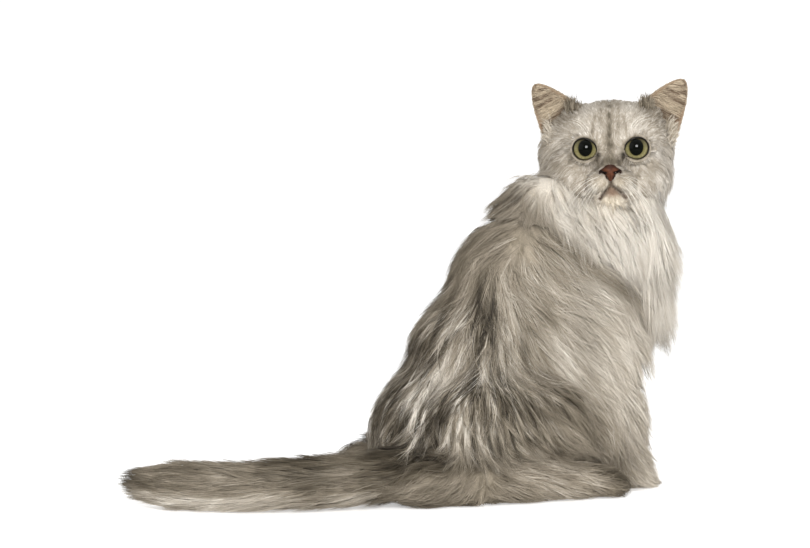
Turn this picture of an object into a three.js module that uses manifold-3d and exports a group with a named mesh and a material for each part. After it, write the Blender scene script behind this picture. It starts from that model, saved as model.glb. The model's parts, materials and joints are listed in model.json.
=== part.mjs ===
// A long-haired silver cat, life size, sitting with its tail laid out behind it and its head turned
// back over the right shoulder. Millimetres, +Z up. The body faces +X and its left side is +Y.
import * as THREE from "three";
import { mergeVertices } from "three/addons/utils/BufferGeometryUtils.js";
import Module from "manifold-3d";

const wasm = await Module();
wasm.setup();

// Driving dimensions
const headAt = [97.6, -16.4, 288]; // midway between the eyes, pushed back to the middle of the skull
const faceTurn = 149; // the face looks back over the right shoulder, towards -X -Y
const faceLift = 5;
const headRoll = 2;
const eyeSpacing = 45.6;
const eyeRadius = 11.6;
const eyeSplay = 0.28; // how far each eye looks outwards
const lidRing = 11.7;
const lidThick = 2.4;
const lidForward = 5.5; // how far the lids stand in front of the middle of the eyeball
const mouthWidth = 1.8;
const earHeight = 37;
const earWidth = 38;
const earLean = 0.62; // outwards from upright
const gap = 0.3; // between one piece and the next
const finest = 0.01; // the smallest step that is kept where pieces cross

const fur = { silver: "#a9a59c", white: "#e6e2da", dark: "#8b877d", ear: "#c9b49c" };
const materials = {
  coat: new THREE.MeshStandardMaterial({ color: fur.silver, roughness: 0.85, metalness: 0 }),
  ruff: new THREE.MeshStandardMaterial({ color: fur.white, roughness: 0.85, metalness: 0 }),
  tail: new THREE.MeshStandardMaterial({ color: fur.dark, roughness: 0.85, metalness: 0 }),
  ear: new THREE.MeshStandardMaterial({ color: fur.ear, roughness: 0.8, metalness: 0 }),
  eye: new THREE.MeshStandardMaterial({ color: "#8d9253", roughness: 0.08, metalness: 0 }),
  nose: new THREE.MeshStandardMaterial({ color: "#8a4a35", roughness: 0.5, metalness: 0 }),
};

// Solids

function solidOf(geometry) {
  const bare = geometry.clone();
  bare.deleteAttribute("normal");
  bare.deleteAttribute("uv");
  const merged = mergeVertices(bare, 1e-3);
  const vertProperties = new Float32Array(merged.attributes.position.array);
  const triVerts = new Uint32Array(merged.index.array);
  return new wasm.Manifold(new wasm.Mesh({ numProp: 3, vertProperties, triVerts }));
}

function geometryOf(solid) {
  const mesh = solid.getMesh();
  const geometry = new THREE.BufferGeometry();
  geometry.setAttribute("position", new THREE.BufferAttribute(new Float32Array(mesh.vertProperties), 3));
  geometry.setIndex(new THREE.BufferAttribute(new Uint32Array(mesh.triVerts), 1));
  geometry.computeVertexNormals();
  return geometry;
}

const unite = (solids) => wasm.Manifold.union(solids);

// The largest closed surface, without its specks and slivers
function largest(solid) {
  const biggest = (all) => all.decompose().reduce((a, b) => (b.volume() > a.volume() ? b : a));
  return biggest(biggest(solid).simplify(finest));
}

// Flesh: rounded masses that melt into one another

const vector = (p) => new THREE.Vector3(p[0], p[1], p[2]);

function blend(masses, softness) {
  const set = masses.map((m) => ({ at: vector(m.at), size: vector(m.size) }));
  const q = new THREE.Vector3();
  const w = new THREE.Vector3();
  return (p) => {
    let sum = 0;
    for (const m of set) {
      q.subVectors(p, m.at).divide(m.size);
      w.copy(q).divide(m.size);
      const near = q.length();
      const distance = (near * (near - 1)) / Math.max(w.length(), 1e-6);
      sum += Math.exp(-distance / softness);
    }
    return -softness * Math.log(Math.max(sum, 1e-300));
  };
}

function normalAt(field, p) {
  const step = 0.5;
  const n = new THREE.Vector3();
  for (const axis of ["x", "y", "z"]) {
    const ahead = p.clone();
    const behind = p.clone();
    ahead[axis] += step;
    behind[axis] -= step;
    n[axis] = field(ahead) - field(behind);
  }
  return n.normalize();
}

// The point where a ray leaves the flesh, grown outwards by some millimetres
function edgeAlong(field, from, direction, grow) {
  const stride = 3;
  const reach = 320;
  let near = 0;
  let far = stride;
  const at = (t) => field(from.clone().addScaledVector(direction, t)) - grow;
  while (at(far) < 0 && far < reach) {
    near = far;
    far += stride;
  }
  for (let i = 0; i < 14; i++) {
    const middle = (near + far) / 2;
    if (at(middle) < 0) near = middle;
    else far = middle;
  }
  return from.clone().addScaledVector(direction, (near + far) / 2);
}

// A closed skin over the flesh, spun round the line from one point to the other
function skinOver(field, from, to, around, along, grow = 0, pole = null) {
  const a = vector(from);
  const b = vector(to);
  const axis = pole ? vector(pole).normalize() : b.clone().sub(a).normalize();
  const turn = new THREE.Quaternion().setFromUnitVectors(new THREE.Vector3(0, 1, 0), axis);
  const geometry = new THREE.SphereGeometry(1, around, along);
  const place = geometry.attributes.position;
  const direction = new THREE.Vector3();
  for (let i = 0; i < place.count; i++) {
    direction.fromBufferAttribute(place, i);
    const centre = a.clone().lerp(b, THREE.MathUtils.clamp(0.5 + 0.62 * direction.y, 0, 1));
    direction.applyQuaternion(turn).normalize();
    const p = edgeAlong(field, centre, direction, grow);
    place.setXYZ(i, p.x, p.y, p.z);
  }
  return solidOf(geometry);
}

function ellipsoid(at, size, turn = [0, 0, 0], around = 20, along = 14) {
  const geometry = new THREE.SphereGeometry(1, around, along);
  geometry.scale(...size);
  geometry.applyMatrix4(new THREE.Matrix4().makeRotationFromEuler(new THREE.Euler(...turn)));
  geometry.translate(...at);
  return solidOf(geometry);
}

// A tube along a smooth path, its ends cut square, with a radius for each place along it
function tube(path, from, to, radius, around, along, squash = 1) {
  const geometry = new THREE.CylinderGeometry(1, 1, 1, around, along);
  const place = geometry.attributes.position;
  const up = new THREE.Vector3(0, 0, 1);
  for (let i = 0; i < place.count; i++) {
    const t = from + (to - from) * (place.getY(i) + 0.5);
    const centre = path.getPoint(t);
    const forward = path.getTangent(t);
    const side = new THREE.Vector3().crossVectors(forward, up).normalize();
    const top = new THREE.Vector3().crossVectors(side, forward);
    const r = radius(t);
    centre.addScaledVector(side, place.getX(i) * r);
    centre.addScaledVector(top, place.getZ(i) * r * squash);
    place.setXYZ(i, centre.x, centre.y, centre.z);
  }
  return solidOf(geometry);
}

// Several fleshes melted into one
const meld = (softness, ...fields) => (p) => {
  let sum = 0;
  for (const field of fields) sum += Math.exp(-field(p) / softness);
  return -softness * Math.log(Math.max(sum, 1e-300));
};

// Coat

// A repeatable source of chance, from -1 to 1
function chance(seed) {
  let state = seed;
  return () => {
    state = (state * 1664525 + 1013904223) % 4294967296;
    return (state / 4294967296) * 2 - 1;
  };
}

// Which way the hair lies at a place, from a few combed places around it
function combed(places) {
  const set = places.map(([at, way]) => ({ at: vector(at), way: vector(way).normalize() }));
  return (p) => {
    const way = new THREE.Vector3();
    for (const c of set) {
      const near = 1 / (c.at.distanceToSquared(p) + 60);
      way.addScaledVector(c.way, near * near);
    }
    return way.normalize();
  };
}

// One flat lock: a three-sided cone drawn out along the coat, its root sunk in the flesh and its tip lifted clear. A free
// one leaves the flesh where that falls away below it
function lock(field, root, lie, look, draw, grow = 0) {
  const steps = look.steps ?? 3;
  const length = look.length * (1 + 0.16 * draw());
  const drift = 0.16 * draw() + (look.drift ?? 0);
  const lift = look.lift * (1 + 0.22 * draw());
  const width = look.width * (1 + 0.14 * draw());
  const line = [];
  const p = root.clone();
  for (let i = 0; i <= steps; i++) {
    const t = i / steps;
    const height = -look.sink + (look.sink + lift) * Math.pow(t, 0.6);
    let out = normalAt(field, p);
    const raise = () => (look.free && t > 0 ? Math.max(0, height - field(p)) : height - field(p));
    for (let k = 0; k < 2; k++) p.addScaledVector(out, raise());
    out = normalAt(field, p);
    const way = lie(p).clone();
    const outward = way.dot(out);
    way.addScaledVector(out, look.free ? -Math.min(outward, 0) : -outward).normalize();
    out.addScaledVector(way, -way.dot(out)).normalize();
    way.applyAxisAngle(out, drift * (0.4 + 1.6 * t));
    line.push({ at: p.clone(), out, side: new THREE.Vector3().crossVectors(way, out) });
    p.addScaledVector(way, length / steps);
  }
  const tip = line[steps].at;
  tip.addScaledVector(tip.clone().sub(line[steps - 1].at).normalize(), 8 * grow);
  const geometry = new THREE.ConeGeometry(1, 1, 3, steps);
  const place = geometry.attributes.position;
  const corner = Math.sqrt(3) / 2; // how far a three-sided cone reaches sideways
  for (let i = 0; i < place.count; i++) {
    const t = place.getY(i) + 0.5;
    const here = line[Math.round(t * steps)];
    const share = Math.max(1 - t, 1e-6);
    const across = place.getX(i) / share / corner;
    const above = (place.getZ(i) / share + 0.5) / 1.5;
    const v = here.at.clone();
    if (t < 0.999) {
      const half = (width / 2) * (1 - t * t) * (0.85 + 0.55 * t);
      const thick = look.thick * (1 - 0.65 * t);
      const slant = Math.hypot(half, thick);
      v.addScaledVector(here.side, across * (half + (grow * (slant + half)) / thick));
      v.addScaledVector(here.out, above * (thick + (grow * slant) / half + grow) - grow);
    }
    place.setXYZ(i, v.x, v.y, v.z);
  }
  return solidOf(geometry);
}

// Roots in staggered rows over a skin, where the test says that hair grows
function rootsOver(field, from, to, rows, spacing, test, draw, grow = 0, pole = null) {
  const a = vector(from);
  const b = vector(to);
  const axis = pole ? vector(pole).normalize() : b.clone().sub(a).normalize();
  const turn = new THREE.Quaternion().setFromUnitVectors(new THREE.Vector3(0, 1, 0), axis);
  const edge = (polar, round) => {
    const way = new THREE.Vector3().setFromSphericalCoords(1, polar, round);
    const centre = a.clone().lerp(b, THREE.MathUtils.clamp(0.5 + 0.62 * way.y, 0, 1));
    return edgeAlong(field, centre, way.applyQuaternion(turn), grow);
  };
  const roots = [];
  for (let row = 0; row < rows; row++) {
    const polar = (Math.PI * (row + 0.5)) / rows;
    let girth = 0;
    const samples = 16;
    for (let i = 0; i < samples; i++) {
      const here = edge(polar, (2 * Math.PI * i) / samples);
      girth += here.distanceTo(edge(polar, (2 * Math.PI * (i + 1)) / samples));
    }
    const count = Math.max(3, Math.round(girth / spacing));
    for (let i = 0; i < count; i++) {
      const round = (2 * Math.PI * (i + 0.5 * (row % 2) + 0.15 * draw())) / count;
      const root = edge(polar + (0.18 * draw() * Math.PI) / rows, round);
      if (test(root)) roots.push(root);
    }
  }
  return roots;
}

// Body

const torsoFlesh = blend(
  [
    { at: [-46, 0, 54], size: [64, 60, 58] },
    { at: [-12, 0, 108], size: [58, 60, 62] },
    { at: [14, 0, 154], size: [64, 56, 58] },
    { at: [30, -1, 196], size: [62, 50, 46] },
    { at: [72, -2, 152], size: [46, 42, 56] },
    { at: [74, 34, 146], size: [36, 24, 46] },
    { at: [74, -34, 146], size: [36, 24, 46] },
    { at: [20, 0, 70], size: [58, 54, 54] },
  ],
  7,
);
const thighFlesh = (side) =>
  blend(
    [
      { at: [-30, side * 48, 56], size: [60, 38, 52] },
      { at: [8, side * 54, 56], size: [50, 32, 42] },
    ],
    8,
  );
const footFlesh = (side) =>
  blend(
    [
      { at: [-54, side * 70, 22], size: [34, 22, 24] },
      { at: [-10, side * 76, 19], size: [44, 18, 20] },
      { at: [30, side * 78, 15], size: [36, 17, 16] },
      { at: [60, side * 78, 12], size: [20, 18, 13] },
    ],
    5,
  );
const forelegFlesh = (side) =>
  blend(
    [
      { at: [88, side * 41, 104], size: [25, 18, 40] },
      { at: [99, side * 44, 56], size: [20, 18, 44] },
      { at: [102, side * 47, 17], size: [21, 19, 17] },
    ],
    6,
  );
const neckFlesh = blend(
  [
    { at: [34, 2, 230], size: [36, 36, 32] },
    { at: [50, 0, 214], size: [42, 42, 34] },
    { at: [84, 0, 212], size: [44, 42, 36] },
    { at: [100, 14, 238], size: [34, 34, 34] },
    { at: [112, -8, 194], size: [30, 38, 48] },
  ],
  7,
);

const tailPath = new THREE.CatmullRomCurve3(
  [
    [-80, -12, 37],
    [-112, -40, 31],
    [-152, -46, 27],
    [-204, -34, 23],
    [-250, -12, 20],
    [-280, 8, 18],
    [-291, 17, 18],
  ].map(vector),
);
const tailRadius = (t) => 18 * Math.sqrt(Math.min(1, 1.02 - Math.pow(t, 9))) * (1 - 0.2 * t);
const tailHeight = 1.15; // how much taller than wide the tail is
const tailPlaces = Array.from({ length: 41 }, (_, i) => {
  const t = i / 40;
  return { at: tailPath.getPoint(t), way: tailPath.getTangent(t), radius: tailRadius(Math.min(t, 0.85)) };
});
// past its end the tail goes on in thought, narrowing, for the hair to lie on
for (let i = 1; i <= 10; i++) {
  const last = tailPlaces[40];
  const at = last.at.clone().addScaledVector(last.way, i * 8);
  tailPlaces.push({ at, way: last.way, radius: last.radius * (1 - 0.13 * i) });
}
const nearestOnTail = (p) =>
  tailPlaces.reduce((a, b) => (p.distanceTo(b.at) - b.radius < p.distanceTo(a.at) - a.radius ? b : a));
const tailFlesh = (p) => {
  const near = nearestOnTail(p);
  return p.distanceTo(near.at) - near.radius;
};
const tailLie = (p) => nearestOnTail(p).way;

const floor = solidOf(new THREE.BoxGeometry(1400, 1400, 600).translate(0, 0, 300));

// How the coat is combed over the body, the same on both sides
const bothSides = (places) =>
  places.flatMap(([at, way]) => [
    [at, way],
    [[at[0], -at[1], at[2]], [way[0], -way[1], way[2]]],
  ]);
const bodyLie = combed(
  bothSides([
    [[40, -2, 262], [-0.8, 0, -0.5]],
    [[-5, -2, 235], [-0.75, 0, -0.65]],
    [[-55, -2, 160], [-0.45, 0, -0.9]],
    [[-90, -2, 100], [-0.5, 0, -0.85]],
    [[-115, -2, 45], [-0.6, 0, -0.5]],
    [[-60, -45, 150], [-0.35, 0, -0.93]],
    [[0, -65, 120], [0.2, -0.1, -0.97]],
    [[-20, -55, 190], [-0.1, -0.2, -0.97]],
    [[50, -60, 160], [0.7, -0.1, -0.7]],
    [[85, -55, 110], [0.72, 0, -0.7]],
    [[120, -35, 60], [0.4, 0, -0.9]],
    [[-40, -85, 70], [0, -0.1, -1]],
    [[-30, -95, 30], [0.2, -0.2, -0.97]],
    [[-95, -55, 60], [-0.35, -0.1, -0.9]],
    [[40, -85, 60], [0.5, -0.1, -0.85]],
    [[130, -2, 130], [0.25, 0, -0.95]],
  ]),
);
const ruffLie = combed(
  bothSides([
    [[15, -10, 262], [-0.85, -0.1, -0.45]],
    [[0, -30, 235], [-0.7, -0.2, -0.65]],
    [[25, -48, 230], [-0.3, -0.2, -0.9]],
    [[55, -50, 222], [0.3, -0.2, -0.9]],
    [[90, -48, 215], [0.4, -0.15, -0.9]],
    [[125, -35, 200], [0.4, -0.1, -0.9]],
    [[150, -10, 165], [0.1, 0, -1]],
    [[130, 0, 230], [0.6, 0, -0.75]],
  ]),
);

// The locks of each part, in millimetres: how long and wide, how thick at the root, how deep the root sits
// and how far the tip stands off the flesh
const locks = {
  torso: { length: 64, width: 27, thick: 5.5, sink: 4, lift: 10 },
  rump: { length: 58, width: 27, thick: 5.5, sink: 4, lift: 12 },
  nape: { length: 46, width: 27, thick: 5, sink: 4, lift: 11 },
  ruff: { length: 64, width: 29, thick: 6, sink: 4, lift: 13 },
  bib: { length: 86, width: 28, thick: 6, sink: 6, lift: 15, free: true },
  thigh: { length: 50, width: 28, thick: 5, sink: 4, lift: 9 },
  tail: { length: 56, width: 27, thick: 6, sink: 4, lift: 11 },
  tip: { length: 46, width: 22, thick: 5, sink: 4, lift: 6 },
  cheek: { length: 24, width: 15, thick: 4, sink: 3, lift: 3, free: true },
  crown: { length: 16, width: 9, thick: 4, sink: 3, lift: 2, free: true },
};

const rooted = (field, roots, lie, look, seed) => (grow) => {
  const draw = chance(seed);
  return roots.map((root) => lock(field, root, lie, typeof look === "function" ? look(root) : look, draw, grow));
};

// Head, in its own frame: +X is the cat's left, +Y the back of the skull, +Z the crown

const headFlesh = blend(
  [
    { at: [0, 6, 8], size: [52, 45, 36] },
    { at: [0, -12, 14], size: [42, 24, 25] },
    { at: [29, -6, -18], size: [28, 26, 26] },
    { at: [-29, -6, -18], size: [28, 26, 26] },
    { at: [24, -21.5, 0], size: [18, 12, 16] },
    { at: [-24, -21.5, 0], size: [18, 12, 16] },
    { at: [0, -2, -28], size: [40, 32, 24] },
    { at: [10, -31, -27], size: [12, 13, 9.5] },
    { at: [-10, -31, -27], size: [12, 13, 9.5] },
    { at: [0, -27, -42], size: [12, 12, 9] },
    { at: [0, -29, -12], size: [8, 14, 12] },
    { at: [0, -33, -19], size: [12, 10, 7] },
  ],
  3,
);

const headPose = new THREE.Matrix4().compose(
  vector(headAt),
  new THREE.Quaternion()
    .setFromAxisAngle(new THREE.Vector3(0, 0, 1), THREE.MathUtils.degToRad(faceTurn - 180))
    .multiply(
      new THREE.Quaternion().setFromEuler(
        new THREE.Euler(THREE.MathUtils.degToRad(-faceLift), -THREE.MathUtils.degToRad(headRoll), 0),
      ),
    ),
  new THREE.Vector3(1, 1, 1),
);
const posed = (solid) => solid.transform(headPose.elements);

const eyeAt = (side) => [side * (eyeSpacing / 2), -28.5, 0];
const eyeSolid = (side, grow = 0) => ellipsoid(eyeAt(side), Array(3).fill(eyeRadius + grow), [0, 0, 0], 12, 10);

// The lids: a ring round the eyeball that faces the way the eye does
function lidSolid(side) {
  const geometry = new THREE.TorusGeometry(lidRing, lidThick, 4, 16);
  geometry.rotateX(Math.PI / 2);
  geometry.translate(0, -lidForward, 0);
  geometry.rotateZ(side * eyeSplay);
  geometry.translate(...eyeAt(side));
  return solidOf(geometry);
}

function noseSolid(grow = 0) {
  const halfWidth = 8.5 + grow;
  const top = -15 + grow;
  const tip = -28 - grow;
  const outline = new THREE.Shape();
  outline.moveTo(0, tip);
  outline.quadraticCurveTo(3.5, -23, halfWidth, -19.5);
  outline.quadraticCurveTo(halfWidth, top, 0, top);
  outline.quadraticCurveTo(-halfWidth, top, -halfWidth, -19.5);
  outline.quadraticCurveTo(-3.5, -23, 0, tip);
  const geometry = new THREE.ExtrudeGeometry(outline, { depth: 12, bevelEnabled: false, curveSegments: 3 });
  geometry.rotateX(Math.PI / 2);
  geometry.translate(0, -33 + grow, 0);
  return solidOf(geometry);
}

// A nostril, shaped like a comma that opens to the side
const nostril = (side) =>
  ellipsoid([side * 5, -45.4, -20.6], [2.6, 4, 1.5], [0, side * 0.35, 0], 8, 5).add(
    ellipsoid([side * 7.6, -45, -19.6], [2.6, 3.5, 0.8], [0, -side * 0.2, 0], 8, 5),
  );

// Where the face stands in front of a place in its own plane
const onFace = (x, z) => edgeAlong(headFlesh, vector([x * 0.7, -8, z * 0.8]), vector([x * 0.3, -40, z * 0.2]).normalize(), 0);

// The line of the mouth: a groove from under the nose, forking to both corners
function mouthSolid() {
  const groove = (points) => {
    const path = new THREE.CatmullRomCurve3(points.map(([x, z]) => onFace(x, z)));
    return solidOf(cappedTube(path, 4, mouthWidth / 2));
  };
  return groove([[0, -27], [0, -33]]).add(groove([[0, -32], [-5, -36], [-13, -41]])).add(
    groove([[0, -32], [5, -36], [16, -40]]),
  );
}

function cappedTube(path, along, radius) {
  const geometry = new THREE.CylinderGeometry(radius, radius, 1, 4, along);
  const place = geometry.attributes.position;
  for (let i = 0; i < place.count; i++) {
    const t = place.getY(i) + 0.5;
    const centre = path.getPoint(t);
    const forward = path.getTangent(t);
    const side = new THREE.Vector3().crossVectors(forward, new THREE.Vector3(0, -1, 0)).normalize();
    const top = new THREE.Vector3().crossVectors(side, forward);
    centre.addScaledVector(side, place.getX(i)).addScaledVector(top, place.getZ(i));
    place.setXYZ(i, centre.x, centre.y, centre.z);
  }
  return geometry;
}

function earSolid(side, grow = 0) {
  const geometry = new THREE.BoxGeometry(2, 1, 1, 6, 6, 1);
  const place = geometry.attributes.position;
  const lean = new THREE.Matrix4().makeRotationFromEuler(new THREE.Euler(0.05, side * earLean, side * 0.15));
  const p = new THREE.Vector3();
  for (let i = 0; i < place.count; i++) {
    const across = place.getX(i);
    const up = place.getY(i) + 0.5;
    const inner = place.getZ(i) > 0;
    const width = (earWidth / 2 + grow) * Math.pow(1 - up, 0.7) + 2.6 * Math.sqrt(up) + 0.3;
    const cup = 11 * (1 - across * across) * (1 - 0.75 * up);
    const thick = (2.4 + 2 * grow) * (1 - 0.5 * up);
    p.set(across * width, cup + (inner ? -thick / 2 : thick / 2), up * (earHeight + 16 + grow) - 16);
    p.applyMatrix4(lean);
    place.setXYZ(i, p.x + side * 43, p.y + 2, p.z + 29);
  }
  return solidOf(geometry);
}

// The cheek's hair hangs outwards and down, and small tufts stand beside the ears
const cheekLie = (p) => vector([Math.sign(p.x) * 0.5, 0.2, -0.8 + 0.015 * p.z]).normalize();
const cheekRoots = [-1, 1].flatMap((side) =>
  [10, -3, -15, -27].flatMap((z, row) =>
    [-12, 6].map((y) => edgeAlong(headFlesh, vector([0, y + 5 * (row % 2), z]), vector([side, 0, 0]), 0)),
  ),
);
const crownRoots = [-1, 1].flatMap((side) =>
  [[28, 0], [33, -4]].map(([x, y]) => edgeAlong(headFlesh, vector([side * x, y, 0]), vector([0, 0, 1]), 0)),
);
const crownLie = (p) => vector([Math.sign(p.x) * 0.25, -0.1, 1]).normalize();

function headSolid(grow = 0) {
  const skull = skinOver(headFlesh, [0, 0, -4], [0, 0, -4], 28, 22, grow, [0, -1, -0.35]);
  const tufts = rooted(headFlesh, cheekRoots, cheekLie, locks.cheek, 11)(grow);
  const crown = rooted(headFlesh, crownRoots, crownLie, locks.crown, 12)(grow);
  return unite([skull, ...tufts, ...crown]);
}

// Putting it together

const cat = new THREE.Group();
const model = new THREE.Group();
cat.add(model);

const taken = []; // what is already placed, each grown by the gap

function clearOfOthers(solid) {
  let left = solid;
  for (const other of taken) left = left.subtract(other);
  return largest(left.intersect(floor));
}

function add(name, solid, material) {
  const mesh = new THREE.Mesh(geometryOf(solid), material);
  mesh.name = name;
  model.add(mesh);
}

function place(name, make, material) {
  add(name, clearOfOthers(make(0)), material);
  taken.push(make(gap));
}

// the eyes and the nose are set into the face, and the ears onto the skull
const sides = [
  { side: -1, end: "right" },
  { side: 1, end: "left" },
];
let face = unite([headSolid(), ...sides.map(({ side }) => lidSolid(side))]);
for (const { side } of sides) face = face.subtract(eyeSolid(side, gap));
face = face.subtract(noseSolid(gap)).subtract(mouthSolid());
add("head", posed(largest(face)), materials.coat);
for (const { side, end } of sides) add("eye_" + end, posed(eyeSolid(side)), materials.eye);
add("nose", posed(largest(noseSolid().subtract(nostril(-1)).subtract(nostril(1)))), materials.nose);
const headGrown = headSolid(gap);
for (const { side, end } of sides) {
  add("ear_" + end, posed(largest(earSolid(side).subtract(headGrown))), materials.ear);
}
taken.push(
  posed(
    unite([headGrown, noseSolid(gap), ...sides.flatMap(({ side }) => [eyeSolid(side, gap), earSolid(side, gap)])]),
  ),
);

const bodyFlesh = meld(
  6,
  torsoFlesh,
  ...[-1, 1].flatMap((side) => [thighFlesh(side), forelegFlesh(side)]),
);
const ruffFlesh = meld(8, bodyFlesh, neckFlesh);
const outsideOf = (p, ...fields) => fields.every((field) => field(p) > 0);

const ruffRoots = rootsOver(
  neckFlesh,
  [80, 0, 216],
  [80, 0, 216],
  6,
  31,
  (p) => outsideOf(p, torsoFlesh) && p.z < 266,
  chance(31),
  0,
  [0, 0, 1],
);
const ruffLook = (p) => (p.x > 105 ? locks.bib : p.x < 40 ? locks.nape : locks.ruff);
place(
  "neck",
  (g) =>
    unite([
      skinOver(neckFlesh, [70, 2, 214], [98, -2, 214], 22, 16, 5 + g, [0, 0, 1]),
      ...rooted(ruffFlesh, ruffRoots, ruffLie, ruffLook, 36)(g),
    ]),
  materials.ruff,
);

const torsoRoots = rootsOver(
  torsoFlesh,
  [-40, 0, 60],
  [38, -1, 185],
  10,
  29,
  (p) => outsideOf(p, neckFlesh, thighFlesh(-1), thighFlesh(1), forelegFlesh(-1), forelegFlesh(1), tailFlesh) && p.z > 34,
  chance(41),
);
place(
  "torso",
  (g) =>
    unite([
      skinOver(torsoFlesh, [-40, 0, 60], [38, -1, 185], 20, 14, 2 + g),
      ...rooted(bodyFlesh, torsoRoots, bodyLie, (p) => (p.x < -60 ? locks.rump : locks.torso), 42)(g),
    ]),
  materials.coat,
);

const toes = (x, y, side, grow) =>
  [-1.5, -0.5, 0.5, 1.5].map((k) =>
    ellipsoid([x - 1.6 * k * k, y + side * k * 8, 8.5], [11 + grow, 5.4 + grow, 8.5 + grow], [0, 0, 0], 6, 4),
  );
for (const { side, end } of sides) {
  const thigh = thighFlesh(side);
  const foreleg = forelegFlesh(side);
  const foot = footFlesh(side);
  const thighRoots = rootsOver(
    thigh,
    [-45, side * 50, 56],
    [10, side * 54, 57],
    6,
    30,
    (p) => outsideOf(p, torsoFlesh, foot, foreleg) && p.y * side > 30 && p.z > 22,
    chance(51),
  );
  place(
    "thigh_" + end,
    (g) =>
      unite([
        skinOver(thigh, [-45, side * 50, 56], [10, side * 54, 57], 16, 11, 2 + g),
        ...rooted(meld(5, thigh, foot), thighRoots, bodyLie, locks.thigh, 52)(g),
      ]),
    materials.coat,
  );
  place(
    "hind_foot_" + end,
    (g) => unite([skinOver(foot, [-50, side * 72, 19], [55, side * 78, 12], 12, 12, 1 + g), ...toes(66, side * 78, side, g)]),
    materials.coat,
  );
  place(
    "foreleg_" + end,
    (g) => unite([skinOver(foreleg, [101, side * 46, 18], [86, side * 41, 108], 12, 12, 2 + g), ...toes(113, side * 47, side, g)]),
    materials.coat,
  );
}

const tailParts = [
  { name: "tail_base", from: 0, to: 0.3, rows: 2, around: 5, along: 3, look: locks.tail },
  { name: "tail_middle", from: 0.3, to: 0.64, rows: 3, around: 5, along: 3, look: locks.tail },
  { name: "tail_brush", from: 0.64, to: 1, rows: 3, around: 4, along: 5, look: locks.tip },
];
for (const { name, from, to, rows, around, along, look } of tailParts) {
  const draw = chance(Math.round(61 + 10 * to));
  const roots = [];
  for (let row = 0; row < rows; row++) {
    const t = from + ((to - from) * (row + 0.5)) / rows;
    const centre = tailPath.getPoint(t);
    const forward = tailPath.getTangent(t);
    const side = new THREE.Vector3().crossVectors(forward, new THREE.Vector3(0, 0, 1)).normalize();
    const top = new THREE.Vector3().crossVectors(side, forward);
    for (let i = 0; i < around; i++) {
      const round = (2 * Math.PI * (i + 0.5 * (row % 2) + 0.15 * draw())) / around;
      const out = side.clone().multiplyScalar(Math.cos(round)).addScaledVector(top, Math.sin(round));
      roots.push(centre.clone().addScaledVector(out, tailRadius(t)));
    }
  }
  place(
    name,
    (g) =>
      unite([
        tube(tailPath, from, to, (t) => tailRadius(t) + g, 10, along, tailHeight),
        ...rooted(tailFlesh, roots, tailLie, look, Math.round(62 + 10 * to))(g),
      ]),
    materials.tail,
  );
}

// The origin is at the middle of the outline, on the floor
const bounds = new THREE.Box3().setFromObject(model, true);
const middle = bounds.getCenter(new THREE.Vector3());
model.position.set(-middle.x, -middle.y, -bounds.min.z);

export default cat;
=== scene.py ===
# A long-haired silver cat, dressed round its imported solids: one skin under a coat of mesh hair, with
# eyes, lids, nose, ears and whiskers of their own. Sizes are in millimetres, in the frame that the
# solids were drawn in.
import json
import math

import bpy
import numpy as np
from mathutils import Matrix, Vector
from mathutils.bvhtree import BVHTree
from mathutils.kdtree import KDTree

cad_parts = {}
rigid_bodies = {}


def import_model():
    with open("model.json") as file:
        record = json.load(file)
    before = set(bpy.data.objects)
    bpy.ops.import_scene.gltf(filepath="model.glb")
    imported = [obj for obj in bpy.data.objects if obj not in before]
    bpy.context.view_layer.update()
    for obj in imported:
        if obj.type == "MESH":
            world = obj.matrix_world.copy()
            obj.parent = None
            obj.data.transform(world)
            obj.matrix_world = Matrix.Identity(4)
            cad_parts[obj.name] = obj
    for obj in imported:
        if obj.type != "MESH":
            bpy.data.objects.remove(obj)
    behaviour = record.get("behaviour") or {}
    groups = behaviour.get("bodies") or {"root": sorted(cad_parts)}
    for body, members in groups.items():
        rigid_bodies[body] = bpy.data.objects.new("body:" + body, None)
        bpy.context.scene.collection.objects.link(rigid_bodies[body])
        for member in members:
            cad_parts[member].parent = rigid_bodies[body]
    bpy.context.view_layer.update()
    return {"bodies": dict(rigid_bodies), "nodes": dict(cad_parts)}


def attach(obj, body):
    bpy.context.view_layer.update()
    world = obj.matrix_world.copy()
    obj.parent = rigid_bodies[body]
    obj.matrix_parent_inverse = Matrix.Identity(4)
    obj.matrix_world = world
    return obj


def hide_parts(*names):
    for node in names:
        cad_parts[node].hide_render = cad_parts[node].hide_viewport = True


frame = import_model()
catBody = next(iter(frame["bodies"]))
frameShift = np.array([80.064, -0.4004, 0.0])  # from the drawing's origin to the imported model's
print("frame loaded, body", catBody)


def toMetres(p):
    return (np.asarray(p, float) + frameShift) / 1000


def toDrawing(p):
    return np.asarray(p, float) * 1000 - frameShift


def linear(r, g, b):
    c = np.array([r, g, b]) / 255
    return np.where(c > 0.04045, ((c + 0.055) / 1.055) ** 2.4, c / 12.92)


def deselect():
    if bpy.context.object and bpy.context.object.mode != "OBJECT":
        bpy.ops.object.mode_set(mode="OBJECT")
    bpy.ops.object.select_all(action="DESELECT")


def pick(*things):
    deselect()
    for thing in things:
        thing.select_set(True)
    bpy.context.view_layer.objects.active = things[0]
    return things[0]


def joined(things, name):
    whole = pick(*things)
    if len(things) > 1:
        bpy.ops.object.join()
    bpy.ops.object.transform_apply(location=True, rotation=True, scale=True)
    whole.name = name
    whole.data.name = name
    return whole


def modified(thing, kind, **settings):
    pick(thing)
    modifier = thing.modifiers.new(kind.title(), kind)
    for key, value in settings.items():
        setattr(modifier, key, value)
    bpy.ops.object.modifier_apply(modifier=modifier.name)


def placesOf(mesh):
    co = np.empty(len(mesh.vertices) * 3, np.float32)
    mesh.vertices.foreach_get("co", co)
    return co.reshape(-1, 3).astype(float)


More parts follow.
